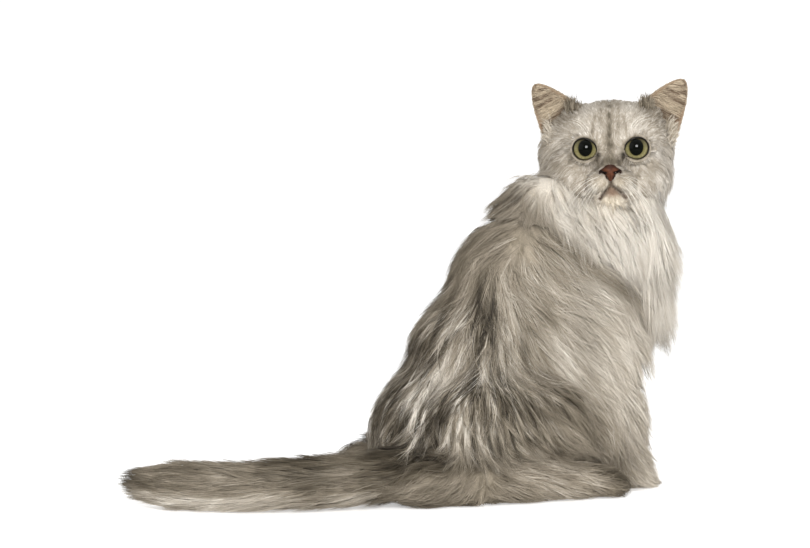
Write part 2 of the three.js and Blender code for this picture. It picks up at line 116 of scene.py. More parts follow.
def setPlaces(mesh, co):
    mesh.vertices.foreach_set("co", np.asarray(co, np.float32).ravel())
    mesh.update()


def normalsOf(mesh):
    n = np.empty(len(mesh.vertices) * 3, np.float32)
    mesh.vertices.foreach_get("normal", n)
    return n.reshape(-1, 3).astype(float)


def unit(v):
    return v / np.maximum(np.linalg.norm(v, axis=-1, keepdims=True), 1e-9)


def smooth(x, low, high):
    t = np.clip((x - low) / (high - low), 0, 1)
    return t * t * (3 - 2 * t)


def bell(*pairs):
    # 1 in the middle, falling off softly; each pair is a distance and how far it reaches
    return np.exp(-sum((far / wide) ** 2 for far, wide in pairs))


def nearTo(p, at, wide):
    return np.exp(-((p - np.array(at, float)) ** 2).sum(1) / wide**2)


def toLine(p, knots):
    # how far each place is from a line through the knots
    best = np.full(len(p), 1e9)
    for a, b in zip(knots, knots[1:]):
        a, d = np.array(a, float), np.array(b, float) - np.array(a, float)
        t = np.clip((p - a) @ d / (d @ d), 0, 1)
        best = np.minimum(best, np.linalg.norm(p - a - t[:, None] * d, axis=1))
    return best


def columns(*parts):
    return np.stack(np.broadcast_arrays(*parts), -1)


def smoothed(thing):
    pick(thing)
    bpy.ops.object.shade_smooth()


# Head pose: +X is the cat's left, +Y the back of the skull, +Z the crown
head = {"at": [97.6, -16.4, 288], "turn": 149, "lift": 5, "roll": 2}
headTurn = np.array(
    Matrix.Rotation(math.radians(head["turn"] - 180), 3, "Z")
    @ Matrix.Rotation(-math.radians(head["lift"]), 3, "X")
    @ Matrix.Rotation(-math.radians(head["roll"]), 3, "Y")
)


def headPlace(p):
    return np.asarray(p, float) @ headTurn.T + np.array(head["at"])


def headLocal(p):
    return (np.asarray(p, float) - np.array(head["at"])) @ headTurn


# Shader nodes
def addNode(owner, kind, **values):
    node = owner.node_tree.nodes.new(kind)
    for key, value in values.items():
        if key in node.inputs:
            node.inputs[key].default_value = value
        else:
            setattr(node, key, value)
    return node


def wire(owner, a, b):
    owner.node_tree.links.new(a, b)


def ranged(owner, value, low, high, toLow=0.0, toHigh=1.0):
    # a value's range from low to high, spread over another
    node = addNode(owner, "ShaderNodeMapRange")
    node.inputs["From Min"].default_value = low
    node.inputs["From Max"].default_value = high
    node.inputs["To Min"].default_value = toLow
    node.inputs["To Max"].default_value = toHigh
    wire(owner, value, node.inputs["Value"])
    return node.outputs["Result"]


def mixed(owner, first, second, share):
    # each of the three is a fixed value or another node's output
    mix = addNode(owner, "ShaderNodeMix", data_type="RGBA")
    for socket, value in ((6, first), (7, second), (0, share)):
        if hasattr(value, "is_output"):
            wire(owner, value, mix.inputs[socket])
        elif socket == 0:
            mix.inputs[0].default_value = value
        else:
            mix.inputs[socket].default_value = (*value, 1)
    return mix.outputs[2]


def addMaterial(name, colour=(0.5, 0.5, 0.5), roughness=0.6, specular=0.5):
    material = bpy.data.materials.new(name)
    material.use_nodes = True
    shader = material.node_tree.nodes["Principled BSDF"]
    shader.inputs["Base Color"].default_value = (*colour, 1)
    shader.inputs["Roughness"].default_value = roughness
    shader.inputs["Specular IOR Level"].default_value = specular
    return material, shader


def addBump(material, height, strength, distance):
    bump = addNode(material, "ShaderNodeBump", Strength=strength, Distance=distance)
    wire(material, height, bump.inputs["Height"])
    wire(material, bump.outputs["Normal"], material.node_tree.nodes["Principled BSDF"].inputs["Normal"])


# Camera and light
view = {
    "azimuth": -25.0,
    "elevation": 5.0,
    "distance": 2200.0,
    "scale": 0.86,  # millimetres to a pixel at the origin
    "originAt": (500.0, 487.0),
    "size": (810, 548),
    "sensor": 36,
}


def addCamera():
    a = math.radians(view["azimuth"])
    e = math.radians(view["elevation"])
    back = Vector((math.sin(a) * math.cos(e), -math.cos(a) * math.cos(e), math.sin(e)))
    right = Vector((math.cos(a), math.sin(a), 0))
    up = back.cross(right)
    focal = view["distance"] / view["scale"]
    wide, high = view["size"]
    x = (view["originAt"][0] - wide / 2) / focal * view["distance"]
    y = -(view["originAt"][1] - high / 2) / focal * view["distance"]
    place = back * view["distance"] - right * x - up * y
    deselect()
    bpy.ops.object.camera_add(location=Vector(toMetres(place)))
    camera = bpy.context.object
    camera.name = "camera"
    camera.rotation_euler = Matrix((right, up, back)).transposed().to_euler()
    camera.data.sensor_width = view["sensor"]
    camera.data.lens = focal * view["sensor"] / wide
    camera.data.clip_end = 50
    bpy.context.scene.camera = camera
    return right, up, back


cameraRight, cameraUp, cameraBack = addCamera()
light = {
    "white": 1.06,  # the background as the camera sees it
    "behind": 1.05,
    "front": 0.16,
    "dimFrom": -0.2,
    "key": 60.0,
    "keySize": 0.85,
    "fill": 6.0,
    "fillSize": 2.2,
    "away": 2.6,
    "target": (0.05, 0, 0.2),
}


def addLight(name, way, power, size):
    place = Vector(light["target"]) + way.normalized() * light["away"]
    deselect()
    bpy.ops.object.light_add(type="AREA", location=place)
    lamp = bpy.context.object
    lamp.name = name
    lamp.data.energy = power
    lamp.data.size = size
    lamp.rotation_euler = way.to_track_quat("Z", "Y").to_euler()


keyWay = cameraBack + cameraRight * 0.08 + cameraUp * 0.38
fillWay = cameraBack - cameraRight * 1.2 + Vector((0, 0, 0.6))
addLight("keyLight", keyWay, light["key"], light["keySize"])
addLight("fillLight", fillWay, light["fill"], light["fillSize"])


def addWorld():
    # white to the eye, dimmer from the camera's side to what it lights
    world = bpy.data.worlds.new("studio")
    bpy.context.scene.world = world
    world.use_nodes = True
    shine = world.node_tree.nodes["Background"]
    shine.inputs["Color"].default_value = (1, 1, 1, 1)
    way = addNode(world, "ShaderNodeTexCoord")
    facing = addNode(world, "ShaderNodeVectorMath", operation="DOT_PRODUCT")
    facing.inputs[1].default_value = cameraBack
    wire(world, way.outputs["Generated"], facing.inputs[0])
    dim = ranged(world, facing.outputs["Value"], light["dimFrom"], 1.0, light["behind"], light["front"])
    path = addNode(world, "ShaderNodeLightPath")
    strength = addNode(world, "ShaderNodeMix")
    wire(world, path.outputs["Is Camera Ray"], strength.inputs[0])
    wire(world, dim, strength.inputs[2])
    strength.inputs[3].default_value = light["white"]
    wire(world, strength.outputs[0], shine.inputs["Strength"])


addWorld()
bpy.context.scene.view_settings.view_transform = "Standard"
print("camera and light placed")


# Materials
def furMaterial(name, roughness, grain, strength, specular=0.25):
    # shows the colours kept in the mesh, with a fine grain over them
    material, shader = addMaterial(name, roughness=roughness, specular=specular)
    tone = addNode(material, "ShaderNodeAttribute", attribute_name="furColour")
    place = addNode(material, "ShaderNodeTexCoord")
    noise = addNode(material, "ShaderNodeTexNoise", Scale=grain, Detail=4.0, Roughness=0.6)
    wire(material, place.outputs["Object"], noise.inputs["Vector"])
    grainy = ranged(material, noise.outputs["Fac"], 0.3, 0.7, 1 - strength, 1 + strength * 0.6)
    shade = addNode(material, "ShaderNodeVectorMath", operation="SCALE")
    wire(material, tone.outputs["Color"], shade.inputs[0])
    wire(material, grainy, shade.inputs["Scale"])
    wire(material, shade.outputs["Vector"], shader.inputs["Base Color"])
    return material, noise


coatMaterial, _ = furMaterial("coatHair", 0.6, 420.0, 0.05)
skinMaterial, skinNoise = furMaterial("furredSkin", 0.75, 900.0, 0.22)
addBump(skinMaterial, skinNoise.outputs["Fac"], 0.5, 0.001)

# Body masses: middle and half sizes
bodyMasses = [
    ([-48, 0, 54], [70, 60, 58]),
    ([-20, 0, 112], [62, 60, 60]),
    ([-32, 0, 84], [60, 56, 48]),
    ([14, 0, 154], [64, 56, 58]),
    ([30, -1, 196], [62, 50, 46]),
    ([-6, 0, 185], [37, 40, 32]),
    ([72, -2, 152], [46, 42, 56]),
    ([74, 34, 146], [36, 24, 46]),
    ([74, -34, 146], [36, 24, 46]),
    ([20, 0, 70], [58, 54, 54]),
    ([65, 34, 66], [41, 36, 64]),
    ([65, -34, 66], [41, 36, 64]),
    ([34, 28, 112], [38, 29, 38]),
    ([34, -28, 112], [38, 29, 38]),
]
neckMasses = [
    ([34, 2, 230], [36, 36, 32]),
    ([50, 0, 214], [42, 42, 34]),
    ([84, 0, 212], [44, 42, 36]),
    ([100, 14, 238], [34, 34, 34]),
    ([112, -8, 194], [30, 38, 48]),
    ([86, -26, 226], [40, 33, 30]),
    ([126, -8, 184], [24, 34, 38]),
    ([38, -6, 244], [30, 30, 27]),
    ([122, -2, 150], [27, 30, 40]),
    ([78, 24, 230], [36, 30, 30]),
]
thighMasses = []
footMasses = []
forelegMasses = []
for side in (-1, 1):
    thighMasses += [([-30, side * 48, 56], [60, 38, 52]), ([8, side * 54, 56], [50, 32, 42])]
    footMasses += [
        ([-92, side * 58, 19], [36, 23, 21]),
        ([-54, side * 70, 22], [34, 22, 24]),
        ([-10, side * 76, 19], [44, 18, 20]),
        ([30, side * 78, 15], [36, 17, 16]),
        ([60, side * 78, 12], [20, 18, 13]),
    ]
    forelegMasses += [
        ([88, side * 41, 104], [25, 18, 40]),
        ([99, side * 44, 56], [20, 18, 44]),
        ([102, side * 47, 17], [21, 19, 17]),
    ]
headMasses = [
    ([0, 6, 8], [52, 45, 36]),
    ([0, -12, 14], [42, 24, 25]),
    ([26, -6, -18], [24, 26, 27]),
    ([-30, -6, -18], [28, 26, 28]),
    ([24, -21.5, 0], [18, 12, 16]),
    ([-24, -21.5, 0], [18, 12, 16]),
    ([0, -2, -28], [40, 32, 24]),
    ([10, -31, -27], [12, 13, 9.5]),
    ([-10, -31, -27], [12, 13, 9.5]),
    ([0, -25.5, -42], [17, 12, 10]),
    ([0, -29, -12], [8, 14, 12]),
    ([0, -33, -19], [12, 10, 7]),
    ([-36, 6, 2], [25, 26, 29]),
    ([31, 4, 4], [22, 24, 27]),
    ([-25, 8, 24], [20, 24, 18.5]),
    ([26, 8, 24], [20, 24, 18.5]),
]
tailKnots = np.array(
    [
        [-80, -12, 37],
        [-112, -40, 28],
        [-152, -46, 25],
        [-204, -34, 23],
        [-250, -12, 20],
        [-280, 8, 19.5],
        [-291, 17, 19.5],
    ],
    float,
)


def tailLine(count):
    # a smooth line through the knots, evenly stepped
    k = np.vstack([2 * tailKnots[0] - tailKnots[1], tailKnots, 2 * tailKnots[-1] - tailKnots[-2]])
    line = []
    for i in range(1, len(k) - 2):
        for t in np.linspace(0, 1, 12, endpoint=False):
            line.append(
                0.5
                * (
                    2 * k[i]
                    + (k[i + 1] - k[i - 1]) * t
                    + (2 * k[i - 1] - 5 * k[i] + 4 * k[i + 1] - k[i + 2]) * t**2
                    + (3 * k[i] - k[i - 1] - 3 * k[i + 1] + k[i + 2]) * t**3
                )
            )
    line.append(k[-2])
    line = np.array(line)
    far = np.concatenate([[0], np.cumsum(np.linalg.norm(np.diff(line, axis=0), axis=1))])
    even = np.linspace(0, far[-1], count)
    return np.stack([np.interp(even, far, line[:, i]) for i in range(3)], 1)


# the throat under the jaw, placed with the head
for x, size in ((20, [24, 26, 30]), (-22, [30, 26, 30])):
    neckMasses.append((headPlace([x, 2, -50]).tolist(), size))


def addBall(at, size, segments=28, rings=18, turn=(0, 0, 0)):
    bpy.ops.mesh.primitive_uv_sphere_add(
        segments=segments,
        ring_count=rings,
        radius=1,
        location=Vector(toMetres(at)),
        rotation=turn,
        scale=[s / 1000 for s in size],
    )
    return bpy.context.object


skin = {
    "under": {"body": 5.5, "neck": 4.5, "thigh": 4.5, "foreleg": 3.5, "foot": 2.5, "head": 1.6},
    "voxel": {"body": 2.6, "head": 1.25},
    "socket": 9,  # how deep the eyes' openings and the mouth's line are pressed in
    "mouth": 2.6,
    "tail": {"balls": 34, "radius": 15.5, "taper": 0.14, "tall": 1.15},
    "toe": {
        "size": [10.0, 5.0, 8.0],
        "apart": 8,
        "curve": 1.6,
        "height": 8.6,
        "feet": ((66, 78), (113, 47)),
    },
}


def buildBodySkin():
    deselect()
    balls = []
    for name, masses in (
        ("body", bodyMasses),
        ("neck", neckMasses),
        ("thigh", thighMasses),
        ("foreleg", forelegMasses),
        ("foot", footMasses),
    ):
        for at, size in masses:
            balls.append(addBall(at, [s - skin["under"][name] for s in size]))
    tail = skin["tail"]
    for i, at in enumerate(tailLine(tail["balls"])):
        r = tail["radius"] * (1 - tail["taper"] * i / (tail["balls"] - 1))
        balls.append(addBall(at, [r, r, r * tail["tall"]], 16, 10))
    toe = skin["toe"]
    for side in (-1, 1):
        for x, y in toe["feet"]:
            for k in (-1.5, -0.5, 0.5, 1.5):
                at = [x - toe["curve"] * k * k, side * (y + k * toe["apart"]), toe["height"]]
                balls.append(addBall(at, toe["size"], 14, 10))
    body = joined(balls, "bodySkin")
    modified(body, "REMESH", mode="VOXEL", voxel_size=skin["voxel"]["body"] / 1000)
    modified(body, "SMOOTH", factor=0.5, iterations=14)
    return body


eye = {
    "spacing": 42.6,
    "across": 0.7,
    "radius": 11.2,
    "forward": 28.9,
    "splay": 0.15,
    "lidRing": 11.0,
    "lidThick": 1.8,
    "lidForward": 4.7,
    "open": (9.7, 8.6),  # half the width and height of the opening
    "flat": 0.10,  # how much its upper inner part is cut
}
mouthLines = [
    [(0.2, -27.4), (0.2, -31.6)],
    [(0.2, -31.4), (-2.4, -33.4), (-5.6, -37.0), (-9.6, -42.0)],
    [(0.2, -31.4), (3.6, -33.2), (8.0, -36.6), (12.8, -41.6)],
]


def eyeMiddle(side):
    return np.array([side * eye["spacing"] / 2 + eye["across"], -eye["forward"], 0.2 - side * 0.3])


def eyeTurn(side):
    a = side * eye["splay"]
    return np.array([[math.cos(a), -math.sin(a), 0], [math.sin(a), math.cos(a), 0], [0, 0, 1]])


def eyeLocal(p, side):
    # into one eye's own frame: -Y is where it looks
    return (np.asarray(p, float) - eyeMiddle(side)) @ eyeTurn(side)


def lidAround(e, side):
    # 1 at the edge of the opening, in the eye's own frame
    turn = np.arctan2(e[..., 2], e[..., 0] * side)
    off = np.angle(np.exp(1j * (turn - math.radians(120))))
    reach = 1 - eye["flat"] * bell((off, 0.65))
    return np.hypot(e[..., 0] / eye["open"][0], e[..., 2] / eye["open"][1]) / reach


def toMouth(p):
    # how far a place in the head's frame is from the line of the mouth, seen from the front
    return np.min([toLine(p[:, [0, 2]], line) for line in mouthLines], axis=0)


def buildHeadSkin():
    deselect()
    balls = []
    for at, size in headMasses:
        ball = addBall(headPlace(at), [s - skin["under"]["head"] for s in size], 48, 32)
        ball.rotation_euler = Matrix(headTurn.tolist()).to_euler()
        balls.append(ball)
    for side in (-1, 1):
        a = side * eye["splay"]
        turn = Matrix(headTurn.tolist()) @ Matrix.Rotation(a, 3, "Z") @ Matrix.Rotation(math.pi / 2, 3, "X")
        middle = eyeMiddle(side) + np.array([math.sin(a), -math.cos(a), 0]) * eye["lidForward"]
        bpy.ops.mesh.primitive_torus_add(
            major_radius=eye["lidRing"] / 1000,
            minor_radius=eye["lidThick"] / 1000,
            major_segments=40,
            minor_segments=12,
            location=Vector(toMetres(headPlace(middle))),
            rotation=turn.to_euler(),
        )
        balls.append(bpy.context.object)
    whole = joined(balls, "headSkin")
    modified(whole, "REMESH", mode="VOXEL", voxel_size=skin["voxel"]["head"] / 1000)
    modified(whole, "SMOOTH", factor=0.5, iterations=5)
    # the sockets are opened and the mouth is pressed in
    co = headLocal(toDrawing(placesOf(whole.data)))
    n = normalsOf(whole.data) @ headTurn
    for side in (-1, 1):
        q = eyeLocal(co, side)
        co[:, 1] += np.where(q[:, 1] < 0, (1 - smooth(lidAround(q, side), 0.96, 1.1)) * skin["socket"], 0)
    front = co[:, 1] < -26
    co -= n * (front * skin["mouth"] * bell((toMouth(co), 1.25)))[:, None]
    setPlaces(whole.data, toMetres(headPlace(co)))
    return whole


bodySkin = buildBodySkin()
headSkin = buildHeadSkin()
print("skin masses", len(bodySkin.data.polygons), len(headSkin.data.polygons))


def unite(first, second, name):
    modified(first, "BOOLEAN", operation="UNION", solver="MANIFOLD", object=second)
    bpy.data.objects.remove(second)
    first.name = name
    first.data.name = name
    return first


catSkin = unite(bodySkin, headSkin, "catSkin")
smoothed(catSkin)
print("one skin", len(catSkin.data.polygons))

# Where each place of the cat belongs
partNames = ["head", "neck", "torso", "thigh", "foot", "foreleg", "tail"]
headPart, neckPart, torsoPart, thighPart, footPart, forelegPart, tailPart = range(len(partNames))
tailSteps = 60
tailDense = tailLine(tailSteps)
tailWays = unit(np.gradient(tailDense, axis=0))
tailReach = 20
chunk = 20000  # places worked on at a time
lowCrease = [[-109, -66, 34], [-66, -86, 37], [-37, -97, 45], [-1, -95, 46], [50, -86, 29], [71, -91, 19]]
highCrease = [[8, -29, 235], [18, -53, 223], [50, -52, 199], [82, -55, 174], [117, -44, 160]]
bibEdge = (122, 118)  # before this x and above this height the chest belongs to the ruff
footTop = {"side": (44, 58), "rear": -95, "front": 84, "pull": 18}


def reach(p, masses):
    # how far outside a set of masses each place is, below zero inside
    best = np.full(len(p), 1e9)
    for at, size in masses:
        q = (p - np.array(at, float)) / np.array(size, float)
        near = np.linalg.norm(q, axis=1)
        far = np.linalg.norm(q / np.array(size, float), axis=1)
        best = np.minimum(best, near * (near - 1) / np.maximum(far, 1e-6))
    return best


def nearestOnTail(p):
    far, index = np.empty(len(p)), np.empty(len(p), int)
    for k in range(0, len(p), chunk):
        d = np.linalg.norm(p[k : k + chunk, None, :] - tailDense[None], axis=2)
        index[k : k + chunk] = d.argmin(1)
        far[k : k + chunk] = d.min(1)
    return far, index


def overLow(p):
    # how high a place is over the crease between thigh and foot
    knots = np.array(lowCrease, float)
    return p[:, 2] - np.interp(p[:, 0], knots[:, 0], knots[:, 2])


def overHigh(p):
    # how far a place is on the ruff's side of the crease between ruff and shoulder
    x, _, z = highCrease[0]
    slope = (p[:, 0] - x) * 0.567 + (p[:, 2] - z) * 0.824
    return np.maximum(slope, np.minimum(p[:, 0] - bibEdge[0], p[:, 2] - bibEdge[1]))


def partOf(p):
    away = [reach(headLocal(p), headMasses)]
    solids = (neckMasses, bodyMasses, thighMasses, footMasses, forelegMasses)
    away += [reach(p, masses) for masses in solids]
    away = np.stack(away + [nearestOnTail(p)[0] - tailReach], 1)
    # what lies below the thigh's crease is foot
    low = (1 - smooth(overLow(p), -5, 3)) * smooth(np.abs(p[:, 1]), *footTop["side"])
    low = low * (p[:, 0] > footTop["rear"]) * (p[:, 0] < footTop["front"])
    away[:, footPart] -= footTop["pull"] * low
    return away.argmin(1)


# How the coat is combed: places and ways, the same on both sides
bodyComb = [
    ([-2, -1, 247], [-0.79, 0.32, -0.53]),
    ([12, -12, 256], [-0.84, 0.35, -0.42]),
    ([-15, -28, 220], [-0.84, 0.35, -0.4]),
    ([-32, -5, 210], [-0.67, 0.24, -0.7]),
    ([12, -49, 226], [0.7, -0.39, -0.6]),
    ([32, -50, 210], [0.66, -0.37, -0.65]),
    ([67, -53, 183], [0.7, -0.39, -0.6]),
    ([113, -38, 159], [0.51, -0.32, -0.8]),
    ([-47, 2, 176], [-0.52, 0.16, -0.84]),
    ([-77, -12, 132], [-0.44, 0.12, -0.89]),
    ([-104, -23, 84], [-0.35, 0.07, -0.93]),
    ([-110, -6, 57], [-0.4, 0.1, -0.91]),
    ([-46, -38, 167], [-0.3, 0.05, -0.95]),
    ([-32, -39, 173], [-0.04, -0.08, -1.0]),
    ([-17, -47, 177], [0.37, -0.26, -0.89]),
    ([6, -57, 166], [0.66, -0.37, -0.65]),
    ([40, -59, 165], [0.79, -0.41, -0.45]),
    ([27, -57, 132], [0.66, -0.37, -0.65]),
    ([71, -64, 147], [0.76, -0.4, -0.51]),
    ([-44, -48, 126], [-0.17, -0.02, -0.99]),
    ([-25, -65, 127], [0.14, -0.16, -0.98]),
    ([0, -72, 108], [0.43, -0.28, -0.86]),
    ([57, -55, 105], [0.61, -0.35, -0.7]),
    ([92, -59, 120], [0.51, -0.32, -0.8]),
    ([-74, -54, 103], [-0.31, 0.05, -0.95]),
    ([-94, -56, 67], [-0.13, -0.04, -0.99]),
    ([-98, -58, 42], [-0.75, -0.2, -0.6]),
    ([-94, -60, 24], [-0.95, -0.15, -0.2]),
    ([-68, -79, 64], [0.01, -0.1, -0.99]),
    ([-45, -87, 64], [0.14, -0.16, -0.98]),
    ([-10, -91, 62], [0.43, -0.28, -0.86]),
    ([44, -79, 57], [0.61, -0.35, -0.7]),
    ([90, -62, 52], [0.37, -0.26, -0.89]),
    ([104, -62, 77], [0.43, -0.28, -0.86]),
    ([101, -67, 26], [0.37, -0.26, -0.89]),
    ([-59, -82, 44], [0.15, -0.16, -0.97]),
    ([-19, -90, 48], [0.66, -0.37, -0.65]),
    ([29, -89, 41], [0.75, -0.4, -0.53]),
    ([98, -68, 174], [0.51, -0.32, -0.8]),
    ([124, -60, 162], [0.24, -0.2, -0.95]),
    ([40, -2, 262], [-0.8, 0, -0.5]),
    ([-90, -2, 100], [-0.5, 0, -0.85]),
    ([-118, -2, 45], [-0.6, 0, -0.7]),
    ([130, -2, 130], [0.25, 0, -0.95]),
    ([0, -20, 20], [0.2, -0.2, -0.9]),
]
neckComb = [
    ([-2, -1, 247], [-0.79, 0.32, -0.53]),
    ([12, -12, 256], [-0.84, 0.35, -0.42]),
    ([7, -15, 251], [-0.64, 0.23, -0.73]),
    ([-15, -28, 220], [-0.84, 0.35, -0.4]),
    ([18, -31, 246], [0.05, -0.12, -0.99]),
    ([12, -49, 226], [0.5, -0.3, -0.8]),
    ([35, -41, 238], [0.37, -0.26, -0.89]),
    ([67, -53, 221], [0.33, -0.24, -0.91]),
    ([107, -51, 213], [0.37, -0.26, -0.89]),
    ([127, -34, 233], [0.33, -0.24, -0.91]),
    ([67, -53, 183], [0.5, -0.3, -0.8]),
    ([98, -68, 174], [0.4, -0.2, -0.9]),
    ([124, -60, 162], [0.24, -0.1, -0.95]),
    ([150, -10, 165], [0.42, 0, -1]),
    ([140, 0, 225], [0.4, 0, -0.9]),
]
footComb = [
    ([-92, -70, 20], [-0.95, 0, -0.25]),
    ([-74, -84, 20], [-0.5, -0.1, -0.7]),
    ([-40, -95, 20], [0.85, -0.1, -0.35]),
    ([20, -95, 16], [0.95, -0.05, -0.3]),
    ([80, -80, 14], [1, 0, -0.35]),
    ([-10, -78, 44], [0.85, -0.2, -0.3]),
    ([40, -78, 34], [1, 0, -0.2]),
    ([0, -55, 20], [0.8, 0.2, -0.5]),
]
forelegComb = [
    ([100, -45, 110], [0.15, 0, -1]),
    ([110, -46, 50], [0.1, 0, -1]),
    ([125, -47, 14], [0.9, 0, -0.5]),
]


def bothSides(places):
    mirror = np.array([1, -1, 1])
    at = np.array([p for p, _ in places], float)
    way = unit(np.array([w for _, w in places], float))
    return np.vstack([at, at * mirror]), np.vstack([way, way * mirror])


combs = {
    neckPart: bothSides(neckComb),
    torsoPart: bothSides(bodyComb),
    thighPart: bothSides(bodyComb),
    footPart: bothSides(footComb),
    forelegPart: bothSides(forelegComb),
}


def combed(p, comb):
    # the combed ways round each place, the nearest counting most
    at, way = comb
    out = np.empty_like(p)
    for k in range(0, len(p), chunk):
        near = 1 / (((p[k : k + chunk, None, :] - at[None]) ** 2).sum(2) + 60)
        out[k : k + chunk] = unit((near**2) @ way)
    return out


def headWay(p):
    # from the nose outwards over the face, back over the crown, down over the cheeks
    q = headLocal(p)
    left = np.sign(q[:, 0])
    nose = np.array([0, -40.0, -17.0])
    way = unit(q - nose)
    way = way + columns(left * 0.1, 0.35, -0.55 * smooth(-q[:, 2], -6, 26))
    side = smooth(np.abs(q[:, 0]), 24, 46)
    cheek = 0.9 * side * smooth(-q[:, 2], -22, 4)
    way = way * (1 - 0.6 * side[:, None]) + columns(left * 0.35, 0, -1) * cheek[:, None]
    back = smooth(q[:, 1], -3, 20)[:, None]
    way = unit(way) * (1 - back) + columns(left * 0.15, 0.45, -1) * back
    # round the eyes the hair parts and leaves them free
    for end in (-1, 1):
        e = q - eyeMiddle(end)
        e[:, 1] = 0
        far = np.linalg.norm(e, axis=1)
        way = way + unit(e) * (1.9 * (1 - smooth(far, 11, 21)))[:, None]
    return unit(way) @ headTurn.T


def lieAt(p, part):
    # the way that the hair lies at each place
    out = np.zeros_like(p)
    for code in np.unique(part):
        mask = part == code
        if code == headPart:
            out[mask] = headWay(p[mask])
        elif code == tailPart:
            out[mask] = tailWays[nearestOnTail(p[mask])[1]]
        else:
            out[mask] = combed(p[mask], combs[code])
    return out


# Markings, with painted shade and painted light, shared by the skin and the coat. A tone runs from 0, the
# darkest hair, to 1, the whitest
shades = {
    0.0: (46, 40, 31),
    0.2: (84, 76, 63),
    0.4: (122, 113, 98),
    0.6: (160, 150, 135),
    0.8: (203, 195, 183),
    1.0: (240, 235, 226),
}
shadeAt = np.array(list(shades))
shadeOf = np.array([linear(*c) for c in shades.values()])
patches = [  # middle, reach and how much paler or darker; the same on both sides
    ([-84, 2, 118], 24, -0.16),
    ([-58, 10, 165], 26, -0.10),
    ([-30, -12, 200], 26, -0.10),
    ([-60, -32, 140], 20, 0.10),
    ([75, -60, 145], 40, 0.22),
    ([58, -60, 176], 22, 0.12),
    ([28, -56, 186], 24, 0.08),
    ([28, -55, 191], 20, 0.06),
    # painted light that lifts the shade falling under the ruff onto the shoulder
    ([68, -58, 163], 18, 0.13),
    ([-41, -25, 197], 22, 0.07),
    ([-95, -40, 60], 12, 0.24),
    ([-40, -88, 70], 16, -0.12),
    ([54, -75, 65], 20, -0.12),
    ([-68, -42, 143], 18, -0.09),
    ([27, -58, 116], 26, 0.20),
    ([70, -67, 90], 34, 0.16),
    ([101, -63, 60], 34, 0.24),
    ([112, -60, 110], 34, 0.20),
    ([-118, -23, 66], 24, -0.49),
    ([-107, -20, 50], 11, 0.50),
    ([75, -60, 152], 16, -0.08),
    ([-46, -32, 176], 26, 0.04),
    ([-78, -62, 66], 14, 0.16),
    ([-90, -50, 74], 12, -0.16),
    ([-84, -50, 30], 22, -0.32),
    ([-45, -88, 89], 11, -0.14),
    ([-24, -83, 91], 9, -0.12),
    ([-55, -53, 127], 11, -0.14),
    ([7, -59, 141], 11, -0.10),
    ([-38, -37, 166], 13, -0.14),
    ([-12, -58, 180], 11, -0.10),
    ([12, -58, 166], 9, -0.10),
    ([130, 0, 150], 50, 0.22),
]
# the first of these is painted light where the ruff turns away from the light
ruffPatches = [([112, -42, 214], 26, 0.10), ([12, -14, 262], 13, 0.16)]
contrasts = [  # where the streaks are stronger
    ([-55, -70, 80], 58, 0.41),
    ([-30, -45, 155], 46, 0.18),
    ([-110, -20, 70], 40, 0.75),
    ([-80, -20, 130], 38, 0.34),
]
creaseShades = [(highCrease, 3.4, 0.36), (lowCrease, 7.0, 0.27)]  # painted shade along the creases, with how wide and how deep
noiseTable = np.random.default_rng(3).random(65536)


def noiseAt(p, cell, seed):
    # value noise from 0 to 1, smooth between the corners of its cells
    q = p / cell
    low = np.floor(q).astype(np.int64)
    f = q - low
    f = f * f * (3 - 2 * f)
    total = np.zeros(len(p))
    for i in (0, 1):
        for j in (0, 1):
            for k in (0, 1):
                key = (low[:, 0] + i) * 73856093 ^ (low[:, 1] + j) * 19349663 ^ (low[:, 2] + k) * 83492791
                share = np.abs(1 - i - f[:, 0]) * np.abs(1 - j - f[:, 1]) * np.abs(1 - k - f[:, 2])
                total += share * noiseTable[(key ^ seed * 7919) & 65535]
    return total


def streaksAt(p, part, cell, half, seed):
    # noise drawn out along the lie of the coat; its spread is about 1
    way = lieAt(p, part)
    total = np.zeros(len(p))
    for s in np.linspace(-half, half, 7):
        total += noiseAt(p + way * s, cell, seed) - 0.5
    return total / 7 / 0.19 * math.sqrt(max(2 * half / cell, 1))


def tailTone(p):
    # what the tail adds: darker above, at its base, in its middle and at its end
    along = nearestOnTail(p)[1] / (tailSteps - 1)
    bands = 0.04 * np.sin(along * 2 * math.pi * 5.0 + 0.6)
    top = smooth(p[:, 2], 18, 32)
    base = 1 - smooth(along, 0.18, 0.42)
    middle = bell((along - 0.56, 0.13))
    end = smooth(-p[:, 0], 298, 322)
    under = 0.23 * (1 - smooth(p[:, 2], 10, 22)) + 0.07 * smooth(along, 0.64, 0.74) + 0.02
    return under + bands - top * (0.06 + 0.08 * middle) - 0.36 * base - 0.15 * middle - 0.22 * end


